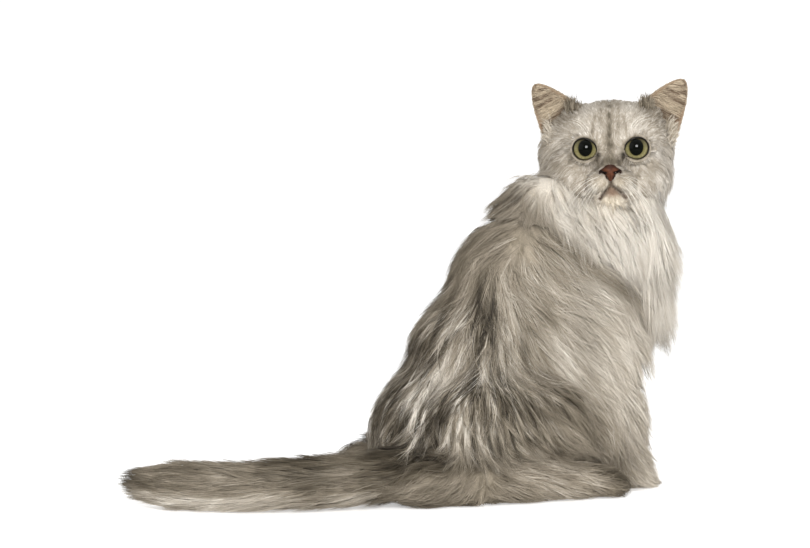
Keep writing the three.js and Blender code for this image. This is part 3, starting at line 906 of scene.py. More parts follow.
def toneAt(p, part):
    q = np.stack([p[:, 0], -np.abs(p[:, 1]), p[:, 2]], 1)
    tone = np.full(len(p), 0.53)
    for at, size, more in patches:
        tone += more * nearTo(q, at, size)
    ruff = smooth(overHigh(p), -3, 6) * (p[:, 2] > 100)
    ruffTone = 0.41 + 0.45 * smooth(p[:, 0] + 0.35 * (p[:, 2] - 230), 10, 44)
    for at, size, more in ruffPatches:
        ruffTone += more * nearTo(q, at, size)
    tone = tone + (ruffTone - tone) * ruff
    foot = 0.47 + 0.16 * smooth(p[:, 0], -60, -5) - 0.24 * smooth(p[:, 0], 42, 66)
    tone = np.select([part == footPart, part == forelegPart], [foot, 0.76], tone)
    fade = 1 - 0.85 * smooth(p[:, 2], 196, 226)
    # painted shade in the creases where the ruff and the thigh's hair hang over
    for knots, wide, deep in creaseShades:
        tone -= deep * bell((toLine(q, knots), wide)) * (part != tailPart) * fade
    much = np.full(len(p), 0.05)
    for at, size, more in contrasts:
        much += more * nearTo(q, at, size)
    much = np.select([part == footPart, part == tailPart], [0.09, 0.11], much * (1 - 0.85 * ruff))
    streak = 0.8 * streaksAt(p, part, 3.8, 15, 1) + 0.5 * streaksAt(p, part, 11, 28, 2)
    tone += much * np.where(streak > 0, 0.50 * streak, 0.98 * streak)
    onTail = part == tailPart
    tone[onTail] += tailTone(p[onTail])
    return tone


faceSpots = [  # across, height, how wide and high, how much paler or darker, and where
    (0, -11, 7.5, 4.5, -0.40, "nose"),
    (0, -3, 5, 7, -0.16, "nose"),
    (11, -8, 4, 6, -0.10, "bridge"),
    (38, 30, 7, 6, -0.16, "front"),
    (24, 15, 8, 5, 0.08, "all"),
    (0, -44, 16, 9, 0.08, "all"),
    (17, -34, 7, 5, 0.13, "pad"),
    (40, -16, 10, 6, -0.09, "all"),
]


def headTone(q):
    # q is in the head's frame
    x, y, z = np.abs(q[:, 0]), q[:, 1], q[:, 2]
    fine = noiseAt(q * np.array([1, 1, 0.35]), 2.2, 5) - 0.5
    fine += 0.8 * (noiseAt(q * np.array([1, 1, 0.5]), 6.0, 6) - 0.5)
    front = 1 - smooth(y, -12, 10)
    brow = smooth(z, 8, 22) * (1 - smooth(x, 20, 38)) * front
    tone = 0.67 - 0.06 * smooth(x, 34, 50) * smooth(z, -34, -8)
    tone += 0.06 * brow - 0.06 * smooth(z, 34, 44)
    tone -= 0.08 * smooth(y, 0, 25)
    tone -= 0.12 * bell((x, 6)) * smooth(z, -6, 4) * front
    tone += 0.09 * smooth(q[:, 0], 25, 42) * (1 - smooth(z, 0, 20))
    # darker round each eye and more on its inner side: painted shade about the sockets
    for end in (-1, 1):
        e = eyeLocal(q, end)
        near = bell((lidAround(e, end) - 1.2, 0.22)) * (e[:, 1] < 4)
        tone -= near * (0.15 + 0.10 * smooth(-e[:, 0] * end, 0, 9))
    # the broken stripe of the forehead, with fainter ones on each side
    deep = 0.32 - 0.15 * smooth(z, 12, 22)
    tone -= (deep + 0.45 * fine) * bell((x, 2.2)) * smooth(z, -4, 4) * front
    outer = bell((x - 15 + 0.18 * (z - 12), 1.8)) * smooth(z, 8, 12) * (1 - smooth(z, 26, 32))
    tone -= (0.12 + 0.4 * fine) * outer * front
    tone -= (0.11 + 0.4 * fine) * bell((x - 7.5, 1.8)) * smooth(z, 10, 22) * front
    where = {"all": 1, "front": front, "nose": y < -20, "bridge": y < -16, "pad": y < -15}
    for across, high, wide, tall, more, place in faceSpots:
        tone += more * bell((x - across, wide), (z - high, tall)) * where[place]
    # small dark spots where the whiskers grow
    tone -= 0.22 * smooth(noiseAt(q, 2.4, 8), 0.62, 0.85) * bell((x - 22, 7), (z + 26, 7))
    streak = streaksAt(headPlace(q), np.zeros(len(q), int), 1.5, 4.5, 9)
    return tone + (0.13 - 0.06 * brow) * fine + (0.045 - 0.02 * brow) * np.clip(streak, -2, 2)


def colourOf(tone, warm=0.0):
    tone = np.clip(tone, 0, 1)
    c = np.stack([np.interp(tone, shadeAt, shadeOf[:, i]) for i in range(3)], 1)
    tint = np.array([1.03, 0.99, 0.90])
    return c * (1 + (tint - 1) * np.clip(np.asarray(warm, float), 0, 3).reshape(-1, 1))


def warmth(p, part):
    # how far each place turns from grey to cream
    q = headLocal(p)
    chin = bell((q[:, 0], 13), (q[:, 2] + 44, 7)) * (q[:, 1] < -10)
    pads = 0.7 * bell((q[:, 0], 16), (q[:, 2] + 30, 7)) * (q[:, 1] < -20)
    return np.select([part == headPart, part == neckPart], [chin + pads, 0.2], 0.35)


tints = {"mouth": linear(66, 46, 34), "lip": linear(122, 92, 72), "lid": linear(24, 19, 15)}


def faceTints(colour, q, wide=1.0):
    # the mouth's dark line, the lower lip in painted shadow under the muzzle, and the lids' rims over a
    # colour; q is in the head's frame
    before = q[:, 1] < -22
    broken = 0.72 + 0.5 * noiseAt(q, 1.6, 12)
    mouth = bell((toMouth(q), 0.95 * wide)) * before * broken
    corner = np.zeros(len(q))
    for x, z in ((-9.4, -41.6), (12.4, -41.2)):
        corner = np.maximum(corner, bell((q[:, 0] - x, 2.4), (q[:, 2] - z, 2.6)) * before)
    # the lower lip is turned toward the lip's colour: painted shadow under the muzzle
    under = smooth(-q[:, 2], 31.5, 34) * (1 - smooth(-q[:, 2], 37.5, 43))
    half = 1.5 + 0.75 * np.clip(-q[:, 2] - 31, 0, 12)
    lipShadow = np.exp(-(((q[:, 0] - 0.9) / half) ** 4)) * under * before * broken
    colour = colour + (tints["lip"] - colour) * (np.clip(lipShadow, 0, 1) * 0.75)[:, None]
    wing = bell((np.abs(q[:, 0] - 0.3) - 8.4, 2.0), (q[:, 2] + 20.0, 1.7)) * before
    shade = np.clip(mouth * (0.9 - 0.25 * (wide - 1)) + corner * 0.45 + wing * 0.8, 0, 0.95)
    colour = colour + (tints["mouth"] - colour) * shade[:, None]
    rim = np.zeros(len(q))
    for side in (-1, 1):
        e = eyeLocal(q, side)
        rim = np.maximum(rim, (1 - smooth(lidAround(e, side), 1.06, 1.14)) * (e[:, 1] < 0))
        tear = bell((e[:, 0] * side + 11.4, 2.0), (e[:, 2] + 5.4, 2.4))
        rim = np.maximum(rim, 0.8 * tear * (e[:, 1] < 3))
    return colour * (1 - rim[:, None]) + tints["lid"] * rim[:, None]


def skinColours(mesh):
    p = toDrawing(placesOf(mesh))
    part = partOf(p)
    q = headLocal(p)
    isHead = part == headPart
    tone = np.where(isHead, headTone(q), toneAt(p, part))
    # the skin's tone is lowered a little: painted shade under the coat
    colour = colourOf(tone * 0.94, warmth(p, part))
    colour[isHead] = faceTints(colour[isHead], q[isHead])
    return colour


def setColours(mesh, colours):
    layer = mesh.color_attributes.new("furColour", "FLOAT_COLOR", "POINT")
    full = np.ones((len(colours), 4), np.float32)
    full[:, :3] = colours
    layer.data.foreach_set("color", full.ravel())


setColours(catSkin.data, skinColours(catSkin.data))
catSkin.data.materials.clear()
catSkin.data.materials.append(skinMaterial)
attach(catSkin, catBody)
fleshNodes = [n for n in frame["nodes"] if n.split("_")[0] not in ("eye", "ear", "nose")]
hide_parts(*fleshNodes)
print("skin coloured")


# A coarse copy of the skin, unwrapped, says where each tuft's colour is kept
def unwrapSkin():
    pick(catSkin)
    bpy.ops.object.duplicate()
    coarse = bpy.context.object
    coarse.parent = None
    modified(coarse, "DECIMATE", ratio=0.07)
    pick(coarse)
    bpy.ops.object.mode_set(mode="EDIT")
    bpy.ops.mesh.select_all(action="SELECT")
    bpy.ops.uv.smart_project(angle_limit=math.radians(60), island_margin=0.004)
    bpy.ops.object.mode_set(mode="OBJECT")
    mesh = coarse.data
    mesh.calc_loop_triangles()
    corner = np.empty(len(mesh.loop_triangles) * 3, np.int32)
    mesh.loop_triangles.foreach_get("vertices", corner)
    loops = np.empty(len(mesh.loop_triangles) * 3, np.int32)
    mesh.loop_triangles.foreach_get("loops", loops)
    flat = np.empty(len(mesh.loops) * 2, np.float32)
    mesh.uv_layers.active.data.foreach_get("uv", flat)
    co = placesOf(mesh)
    tris = corner.reshape(-1, 3)
    tree = BVHTree.FromPolygons([Vector(c) for c in co], tris.tolist())
    uv = flat.reshape(-1, 2)[loops.reshape(-1, 3)]
    bpy.data.objects.remove(coarse)
    return tree, co[tris], uv


unwrapTree, unwrapPlaces, unwrapUv = unwrapSkin()
print("skin unwrapped", len(unwrapPlaces))


def uvAt(p):
    found = [unwrapTree.find_nearest(Vector(c)) for c in p]
    index = np.array([f[2] for f in found])
    at = np.array([tuple(f[0]) for f in found])
    a, b, c = (unwrapPlaces[index][:, i] for i in range(3))
    v0, v1, v2 = b - a, c - a, at - a
    d00, d01, d11 = (v0 * v0).sum(1), (v0 * v1).sum(1), (v1 * v1).sum(1)
    d20, d21 = (v2 * v0).sum(1), (v2 * v1).sum(1)
    below = np.maximum(d00 * d11 - d01 * d01, 1e-18)
    v = np.clip((d11 * d20 - d01 * d21) / below, 0, 1)
    w = np.clip((d00 * d21 - d01 * d20) / below, 0, 1)
    share = np.stack([1 - v - w, v, w], 1)
    return (unwrapUv[index] * share[:, :, None]).sum(1)


skinCo = placesOf(catSkin.data)
catSkin.data.calc_loop_triangles()
skinTris = np.empty(len(catSkin.data.loop_triangles) * 3, np.int32)
catSkin.data.loop_triangles.foreach_get("vertices", skinTris)
skinTris = skinTris.reshape(-1, 3)
skinTree = BVHTree.FromPolygons([Vector(c) for c in skinCo], skinTris.tolist())
skinNormals = normalsOf(catSkin.data)


def onSkin(p):
    # nearest place on the skin and its normal, in millimetres of the drawing
    found = [skinTree.find_nearest(Vector(c)) for c in toMetres(p)]
    at = toDrawing(np.array([tuple(f[0]) for f in found]))
    tri = skinTris[np.array([f[2] for f in found])]
    return at, unit(skinNormals[tri].sum(1))


random = np.random.default_rng(7)


def sampleSkin(count, weightOf):
    # chance places over the skin, as many for each area as the weight asks
    tri = skinCo[skinTris]
    area = 0.5 * np.linalg.norm(np.cross(tri[:, 1] - tri[:, 0], tri[:, 2] - tri[:, 0]), axis=1)
    middle = toDrawing(tri.mean(1))
    weight = area * weightOf(middle)
    index = random.choice(len(tri), count, p=weight / weight.sum())
    r = random.random((count, 2))
    outside = r.sum(1) > 1
    r[outside] = 1 - r[outside]
    a, b, c = (tri[index, i] for i in range(3))
    p = a + (b - a) * r[:, :1] + (c - a) * r[:, 1:]
    n = unit(skinNormals[skinTris[index]].mean(1))
    return toDrawing(p), n


def thinned(p, spacing):
    # keeps places about evenly apart: the first in each small cell
    cell = np.floor(p / spacing).astype(np.int64)
    key = cell[:, 0] * 1000003 + cell[:, 1] * 10007 + cell[:, 2]
    _, first = np.unique(key, return_index=True)
    return np.sort(first)


# Looks of the coat: length, how high the tips stand, a hair's width, how far hairs draw together, how far
# a lock waves, and the room from lock to lock
coat = {
    "torso": {"length": 48, "lift": 8, "width": 0.54, "draw": 0.36, "wave": 1.2, "spacing": 5.2},
    "neck": {"length": 52, "lift": 9, "width": 0.58, "draw": 0.12, "wave": 0.7, "spacing": 5.6},
    "thigh": {"length": 42, "lift": 8, "width": 0.56, "draw": 0.42, "wave": 1.2, "spacing": 5.2},
    "foot": {"length": 26, "lift": 4.0, "width": 0.60, "draw": 0.25, "wave": 0.5, "spacing": 3.6},
    "foreleg": {"length": 30, "lift": 6, "width": 0.72, "draw": 0.35, "wave": 1.0, "spacing": 4.6},
    "tail": {"length": 36, "lift": 8.0, "width": 0.54, "draw": 0.12, "wave": 0.6, "spacing": 4.6},
    "head": {"length": 12, "lift": 2.2, "width": 0.49, "draw": 0.25, "wave": 0.25, "spacing": 3.0},
}


def lookOf(part, key):
    return np.array([coat[n][key] for n in partNames], float)[part]


def headLength(q):
    # short on the muzzle and the brow, long on the cheeks
    x, y, z = np.abs(q[:, 0]), q[:, 1], q[:, 2]
    length = 5.5 + 7 * smooth(y, -30, 5)
    length += 8 * smooth(x, 28, 48) * smooth(-z, -20, 10)
    length += 6 * smooth(-z, 36, 48)
    return length - 2.0 * bell((x, 8), (z + 8, 10))


def lieGuides(p, n, part, length, lift, steps, free, drift):
    # walks each guide hair over the skin
    line = [p - n * 1.0]
    at = p.copy()
    out = n.copy()
    for k in range(1, steps + 1):
        t = k / steps
        here = lieAt(at, part)
        here = here - out * ((here * out).sum(1) * (1 - 0.8 * free))[:, None]
        way = unit(unit(here) * 0.75 + way * 0.25 if k > 1 else here)
        side = np.cross(out, way)
        turned = unit(way + side * (drift * (0.4 + 1.2 * t))[:, None])
        ahead = at + turned * (length / steps)[:, None]
        base, out = onSkin(ahead)
        rise = lift * t**0.7 - ((ahead - base) * out).sum(1)
        # over a hollow the hair keeps its own line instead of dropping in
        rise = np.where(rise < 0, rise * (0.45 * (1 - free)), rise)
        at = ahead + out * rise[:, None]
        at[:, 2] = np.maximum(at[:, 2], 1.2)
        way = turned
        line.append(at.copy())
    return np.stack(line, 1)


hair = {"floor": 0.25, "patch": (0.0014, 0.0028), "sides": (0.3, 0.7)}


def hairMesh(name, lines, width, colours, uv, outs, softness):
    # one joined mesh of three-sided tapered hairs: lines is hairs x places x 3
    count, rings = lines.shape[:2]
    way = unit(np.gradient(lines, axis=1))
    side = unit(np.cross(way, outs[:, None, :]))
    top = np.cross(side, way)
    t = np.linspace(0, 1, rings)
    taper = (0.55 + 0.9 * t) * (1 - t**1.6)
    half = 0.5 * width[:, None] * taper[None]
    body = lines[:, :-1]
    w = half[:, :-1, None]
    low, high = hair["sides"]
    left = body - side[:, :-1] * w - top[:, :-1] * w * low
    right = body + side[:, :-1] * w - top[:, :-1] * w * low
    ridge = body + top[:, :-1] * w * high
    ringPlaces = np.stack([left, right, ridge], 2).reshape(count, -1, 3)
    places = np.concatenate([ringPlaces, lines[:, -1:]], 1)
    perHair = places.shape[1]
    places[:, :, 2] = np.maximum(places[:, :, 2], hair["floor"])
    faces, facing = [(0, 1, 2)], [-1.0]  # facing is -1 on the underside
    for k in range(rings - 1):
        a = 3 * k
        for i, j in ((1, 0), (2, 1), (0, 2)):
            if k < rings - 2:
                faces += [(a + i, a + j, a + 3 + j), (a + i, a + 3 + j, a + 3 + i)]
            else:
                faces.append((a + i, a + j, perHair - 1))
            facing += [-1.0 if i == 1 else 1.0] * (len(faces) - len(facing))
    faces = np.array(faces, np.int64)
    whole = (faces[None] + (np.arange(count) * perHair)[:, None, None]).reshape(-1)
    mesh = bpy.data.meshes.new(name)
    mesh.vertices.add(count * perHair)
    mesh.vertices.foreach_set("co", toMetres(places).astype(np.float32).ravel())
    mesh.loops.add(len(whole))
    mesh.loops.foreach_set("vertex_index", whole.astype(np.int32))
    mesh.polygons.add(len(whole) // 3)
    mesh.polygons.foreach_set("loop_start", np.arange(0, len(whole), 3, dtype=np.int32))
    mesh.polygons.foreach_set("use_smooth", np.ones(len(whole) // 3, bool))
    mesh.update(calc_edges=True)
    ringOf = np.concatenate([np.repeat(np.arange(rings - 1), 3), [rings - 1]])
    setColours(mesh, colours[:, ringOf].reshape(-1, 3))
    wide, long = hair["patch"]
    across = np.concatenate([np.tile([-1.0, 1.0, 0.0], rings - 1), [0.0]]) * wide
    along = (ringOf / (rings - 1) - 0.5) * long
    flat = np.clip(uv[:, None, :] + np.stack([across, along], 1)[None], 0.001, 0.999).reshape(-1, 2)
    layer = mesh.uv_layers.new(name="OFBake")
    layer.data.foreach_set("uv", flat[whole].astype(np.float32).ravel())
    mesh.materials.append(coatMaterial)
    # a hair is shaded nearly as the skin below it, so that the coat looks soft; its underside turns away
    own = normalsOf(mesh)[whole]
    under = np.repeat(outs, len(faces) * 3, axis=0) * np.tile(np.repeat(facing, 3), count)[:, None]
    mesh.normals_split_custom_set(unit(own * (1 - softness) + under * softness).tolist())
    thing = bpy.data.objects.new(name, mesh)
    bpy.context.scene.collection.objects.link(thing)
    return thing


# Where the coat departs from those looks
nape = {"front": 40, "low": 215, "lift": 1.25, "length": (0.45, 1.15), "drift": 0.30, "free": 0.15}
bib = {"rear": (96, 122), "end": 118, "round": (12, 0.5), "length": (22, 68), "vary": 0.28}
heel = {"front": -66, "near": 34, "far": 22, "lift": 5}
tailEnd = {"at": 356, "round": 0.06, "longer": 0.75, "least": 12}
creaseLeast = 13  # no hair that ends at a crease is shorter


def guideShapes(p, part):
    # length, lift, freedom from the skin and sideways drift of the guide hairs
    count = len(p)
    x, y, z = p.T
    q = headLocal(p)
    isHead, isNeck, isTail = part == headPart, part == neckPart, part == tailPart
    length = np.where(isHead, headLength(q), lookOf(part, "length"))
    cheek = smooth(np.abs(q[:, 0]), 30, 50) * smooth(-q[:, 2], 4, 30)
    edge = smooth(np.abs(q[:, 0]), 30, 48) + smooth(q[:, 1], 0, 30)
    headLift = length * (0.18 + 0.10 * cheek + 0.14 * np.minimum(edge, 1))
    lift = np.where(isHead, headLift, lookOf(part, "lift"))
    atNape = isNeck & (x < nape["front"]) & (z > nape["low"])
    lift = np.where(atNape, lift * nape["lift"], lift)
    off, along = nearestOnTail(p)
    tip = np.where(isTail, smooth(along / (tailSteps - 1), 0.85, 1.0), 0)
    length = length * (1 + 0.20 * random.standard_normal(count).clip(-2, 2))
    length = length * (1 + tailEnd["longer"] * tip)
    length = np.where(atNape, length * random.uniform(*nape["length"], count), length)
    # long hair ends at the creases below it
    room = (overHigh(p) + 1) / 0.52 * (1 + 0.12 * random.standard_normal(count))
    near = isNeck & (x > 0) & (x < 112) & (z < 262)
    length = np.where(near, np.minimum(length, np.maximum(room, creaseLeast)), length)
    room = (overLow(p) + 12) / 0.8 * (1 + 0.12 * random.standard_normal(count))
    near = ((part == torsoPart) | (part == thighPart)) & (np.abs(y) > 44) & (x > -100) & (x < 80)
    length = np.where(near, np.minimum(length, np.maximum(room, creaseLeast)), length)
    # some locks lie low and others over them
    layer = random.random(count)
    layers = np.where(part == thighPart, 0.35 + layer, 0.6 + 0.65 * layer)
    lift = np.minimum(lift * layers * (1 - 0.3 * tip), length * 0.4)
    lift = np.where(isTail, lookOf(part, "lift") * (0.45 + 0.65 * layer), lift)
    # the bib ends in a rounded hem
    inBib = smooth(x, *bib["rear"]) * isNeck
    hem, slope = bib["round"]
    room = z - bib["end"] - slope * np.maximum(np.abs(y + 4) - hem, 0)
    room = room / 0.88 * (1 + bib["vary"] * random.standard_normal(count))
    length = np.where(inBib > 0.3, np.clip(room, *bib["length"]), length)
    lift = np.where((part == torsoPart) & (x > 84), lift * 1.9, lift)
    free = np.where(atNape, nape["free"], 0.4 + 0.6 * inBib)
    free = np.select([isNeck, isHead, isTail], [free, 0.5, tip], 0.15)
    drift = np.select([isTail, atNape], [0.07, nape["drift"]], 0.16) * random.standard_normal(count)
    atHeel = (part == footPart) & (x < heel["front"])
    heelLength = np.where(y < 0, heel["near"], heel["far"]) * random.uniform(0.8, 1.2, count)
    length = np.where(atHeel, heelLength, length)
    lift = np.where(atHeel, heel["lift"] * (0.4 + layer), lift)
    # the tail ends in a blunt round brush
    far = off + 0.5 * lift
    room = (x + tailEnd["at"] - tailEnd["round"] * far**2) * random.uniform(0.80, 1.0, count)
    length = np.where(isTail, np.minimum(length, np.maximum(room, tailEnd["least"])), length)
    return length, lift, free, drift


def hairsRound(p, guides, part, length, hp, hn, steps, stray):
    # lines of hairs that follow their nearest guide and draw together along it, and their guides' numbers
    count = len(hp)
    tree = KDTree(len(p))
    for i, c in enumerate(p):
        tree.insert(Vector(c), i)
    tree.balance()
    owner = np.array([tree.find(Vector(c))[1] for c in hp])
    fine = np.linspace(0, 1, steps + 1)
    reachShare = (1 + 0.12 * random.standard_normal(count)).clip(0.6, 1.35)
    at = np.clip(fine[None] * reachShare[:, None], 0, 1) * (guides.shape[1] - 1)
    below = np.minimum(at.astype(int), guides.shape[1] - 2)
    share = (at - below)[:, :, None]
    g = guides[owner]
    rows = np.arange(count)[:, None]
    along = g[rows, below] * (1 - share) + g[rows, below + 1] * share
    drawIn = lookOf(part[owner], "draw") * (0.6 + 0.5 * random.random(count))
    loose = random.random(count) < stray
    drawIn = np.where(loose, -0.25, drawIn)
    offset = hp - p[owner]
    lines = along + offset[:, None, :] * (1 - drawIn[:, None] * fine[None] ** 1.2)[:, :, None]
    spread = random.standard_normal((count, 3)) * (0.018 * length[owner])[:, None]
    rising = np.abs(random.standard_normal(count)) * np.where(loose, 0.05, 0.012) * length[owner]
    lines = lines + (spread + hn * rising[:, None])[:, None, :] * (fine[None, :, None] ** 1.5)
    lines[:, :, 2] = np.maximum(lines[:, :, 2], 0.8)
    return lines, owner


def hairColours(lines, part, hp, owner, lockCount):
    # by the place of each part of the hair, with a little of its own and its lock's
    count, rings = lines.shape[:2]
    flat = lines.reshape(-1, 3)
    isHead = part[0] == headPart
    tones = headTone(headLocal(flat)) if isHead else toneAt(flat, np.repeat(part, rings))
    tones = tones.reshape(count, rings)
    lockTone = random.standard_normal(lockCount).clip(-2, 2)
    groups = [part == headPart, part == neckPart, part == footPart]
    own = np.select(groups, [0.045, 0.02, 0.03], 0.04)
    tones = tones + (own * lockTone[owner] + 1.4 * own * random.standard_normal(count))[:, None]
    tip = np.select(groups[:2], [0.02, 0.0], 0.06)
    tones = tones + 0.04 - tip[:, None] * np.linspace(0, 1, rings)[None] ** 1.2 * 1.6
    colours = colourOf(tones.ravel(), np.repeat(warmth(hp, part), rings))
    if isHead:
        colours = faceTints(colours, headLocal(flat), 1.25)
    return colours.reshape(count, rings, 3)


def growCoat(codes, name, guideCount, hairCount, stray=0.12, softness=0.8, steps=2):
    wanted = np.isin(np.arange(len(partNames)), codes)
    spacing = min(coat[partNames[c]]["spacing"] for c in codes)

    def weightOf(p):
        # no hair grows in the eyes or the mouth
        part = partOf(p)
        q = headLocal(p)
        keep = wanted[part]
        for end in (-1, 1):
            e = eyeLocal(q, end)
            keep = keep & ~((lidAround(e, end) < 1.14) & (e[:, 1] < 4))
        keep = keep & ~((toMouth(q) < 1.1) & (q[:, 1] < -24) & (part == headPart))
        return keep / lookOf(part, "spacing") ** 2 * (p[:, 2] > 1.5)

    p, n = sampleSkin(guideCount, weightOf)
    keep = thinned(p, spacing * 0.8)
    p, n = p[keep], n[keep]
    part = partOf(p)
    length, lift, free, drift = guideShapes(p, part)
    guides = lieGuides(p, n, part, length, lift, 6, free, drift)
    # a slow wave along each lock
    way = unit(np.gradient(guides, axis=1))
    side = unit(np.cross(way, n[:, None, :]))
    t = np.linspace(0, 1, guides.shape[1])
    phase = random.random(len(p)) * 2 * math.pi
    wave = lookOf(part, "wave")[:, None] * np.sin(phase[:, None] + t[None] * 2 * math.pi * 0.9) * t[None]
    guides = guides + side * wave[:, :, None]
    hp, hn = sampleSkin(hairCount, weightOf)
    lines, owner = hairsRound(p, guides, part, length, hp, hn, steps, stray)
    colours = hairColours(lines, part[owner], hp, owner, len(p))
    width = lookOf(part[owner], "width") * (0.75 + 0.5 * random.random(hairCount))
    thing = hairMesh(name, lines, width, colours, uvAt(toMetres(hp)), hn, softness)
    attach(thing, catBody)
    print(name, "locks", len(p), "hairs", hairCount, "triangles", len(thing.data.polygons))


growCoat([torsoPart], "coatBack", 9000, 19000)
growCoat([torsoPart], "coatFlank", 9000, 19000)
growCoat([thighPart], "coatThighs", 7000, 19000, softness=0.75)
growCoat([neckPart], "coatRuff", 7000, 19000, softness=0.88)
growCoat([tailPart], "coatTail", 5000, 17000)
growCoat([footPart, forelegPart], "coatLegs", 9000, 15000, stray=0.04)
growCoat([headPart], "coatHead", 9000, 19000, stray=0.08, softness=0.88)

# Eyes: a glossy ball for each, painted in its own flat map, which has its middle where the eye looks
iris = {
    "radius": 9.9,
    "pupil": (6.0, 7.2),
    "spokes": 60.0,
    "proud": 0.05,
    "look": (-0.09, 0.065),  # to the photo's left and up
    "apart": 0.02,
    "rings": [
        (0.0, (50, 45, 27)),
        (0.56, (66, 60, 36)),
        (0.66, (104, 97, 62)),
        (0.80, (126, 119, 84)),
        (0.92, (130, 122, 88)),
        (0.97, (66, 56, 36)),
        (1.0, (22, 17, 12)),
    ],
    "streak": (92, 88, 52),
    "shade": (36, 30, 18),
    "hole": (0.0015, 0.002, 0.001),
}


def multiplied(owner, value, by):
    node = addNode(owner, "ShaderNodeMath", operation="MULTIPLY")
    node.inputs[1].default_value = by
    wire(owner, value, node.inputs[0])
    return node.outputs[0]


def lengthOf(owner, vector):
    node = addNode(owner, "ShaderNodeVectorMath", operation="LENGTH")
    wire(owner, vector, node.inputs[0])
    return node.outputs["Value"]


def eyeMaterial():
    material, shader = addMaterial("eyeGloss", roughness=0.05, specular=0.17)
    flat = addNode(material, "ShaderNodeUVMap", uv_map="irisMap")
    centred = addNode(material, "ShaderNodeMapping", Location=(-1, -1, 0), Scale=(2, 2, 2))
    wire(material, flat.outputs["UV"], centred.inputs["Vector"])
    place = centred.outputs["Vector"]
    far = lengthOf(material, place)
    # fibres that run out from the pupil
    around = addNode(material, "ShaderNodeTexGradient", gradient_type="RADIAL")
    wire(material, place, around.inputs["Vector"])
    spokes = addNode(material, "ShaderNodeCombineXYZ")
    wire(material, multiplied(material, around.outputs["Fac"], iris["spokes"]), spokes.inputs["X"])
    wire(material, multiplied(material, far, 5.0), spokes.inputs["Y"])
    fibres = addNode(material, "ShaderNodeTexNoise", Scale=1.0, Detail=3.0, Roughness=0.6)
    wire(material, spokes.outputs["Vector"], fibres.inputs["Vector"])
    rings = addNode(material, "ShaderNodeValToRGB")
    wire(material, far, rings.inputs["Fac"])
    ramp = rings.color_ramp
    while len(ramp.elements) < len(iris["rings"]):
        ramp.elements.new(0.5)
    for element, (at, colour) in zip(ramp.elements, iris["rings"]):
        element.position = at
        element.color = (*linear(*colour), 1)
    share = ranged(material, fibres.outputs["Fac"], 0.42, 0.68, 0, 0.85)
    painted = mixed(material, rings.outputs["Color"], tuple(linear(*iris["streak"])), share)
    # the upper lid's shadow
    parts = addNode(material, "ShaderNodeSeparateXYZ")
    wire(material, place, parts.inputs["Vector"])
    lidShade = ranged(material, parts.outputs["Y"], -0.1, 0.75, 0, 0.9)
    painted = mixed(material, painted, tuple(linear(*iris["shade"])), lidShade)
    # the pupil is a little taller than wide
    wide, high = iris["pupil"]
    squeeze = (iris["radius"] / wide, iris["radius"] / high, 1)
    squeezed = addNode(material, "ShaderNodeMapping", Scale=squeeze)
    wire(material, place, squeezed.inputs["Vector"])
    edge = ranged(material, lengthOf(material, squeezed.outputs["Vector"]), 0.95, 1.06)
    wire(material, mixed(material, iris["hole"], painted, edge), shader.inputs["Base Color"])
    return material


def buildEye(side, end):
    middle = headPlace(eyeMiddle(side))
    ball = addBall(middle, [eye["radius"] + iris["proud"]] * 3, 72, 48)
    # both eyes look out of the photo, a little up and to its left
    left, rise = iris["look"]
    gaze = np.array(cameraBack) + np.array(cameraRight) * (left + side * iris["apart"])
    gaze = unit(gaze + np.array(cameraUp) * rise)
    up = unit(np.array([0, 0, 1]) - gaze * gaze[2])
    across = np.cross(up, gaze)
    ball.rotation_euler = Matrix(np.stack([across, up, gaze], 1).tolist()).to_euler()
    eyeBall = joined([ball], "eyeBwhole" + end)
    co = toDrawing(placesOf(eyeBall.data)) - middle
    flat = np.stack([co @ across, co @ up], 1) / iris["radius"]
    behind = co @ gaze < 0
    flat[behind] = unit(flat[behind]) * 1.1
    loops = np.empty(len(eyeBall.data.loops), np.int32)
    eyeBall.data.loops.foreach_get("vertex_index", loops)
    layer = eyeBall.data.uv_layers.new(name="irisMap")
    layer.data.foreach_set("uv", (0.5 + 0.5 * flat)[loops].astype(np.float32).ravel())
    eyeBall.data.materials.append(eyeGloss)
    smoothed(eyeBall)
    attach(eyeBall, catBody)
    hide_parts("eye_" + end)


eyeGloss = eyeMaterial()
for side, end in ((-1, "right"), (1, "left")):
    buildEye(side, end)

# The lids' bare dark rims: a ring round each eye, thicker above, drawn out to the tear corner
rim = {
    "thick": 0.36,
    "corner": 2.6,
    "cornerAt": 207,
    "proud": 0.1,
    "rows": (96, 14),
    "colour": (22, 17, 13),
}


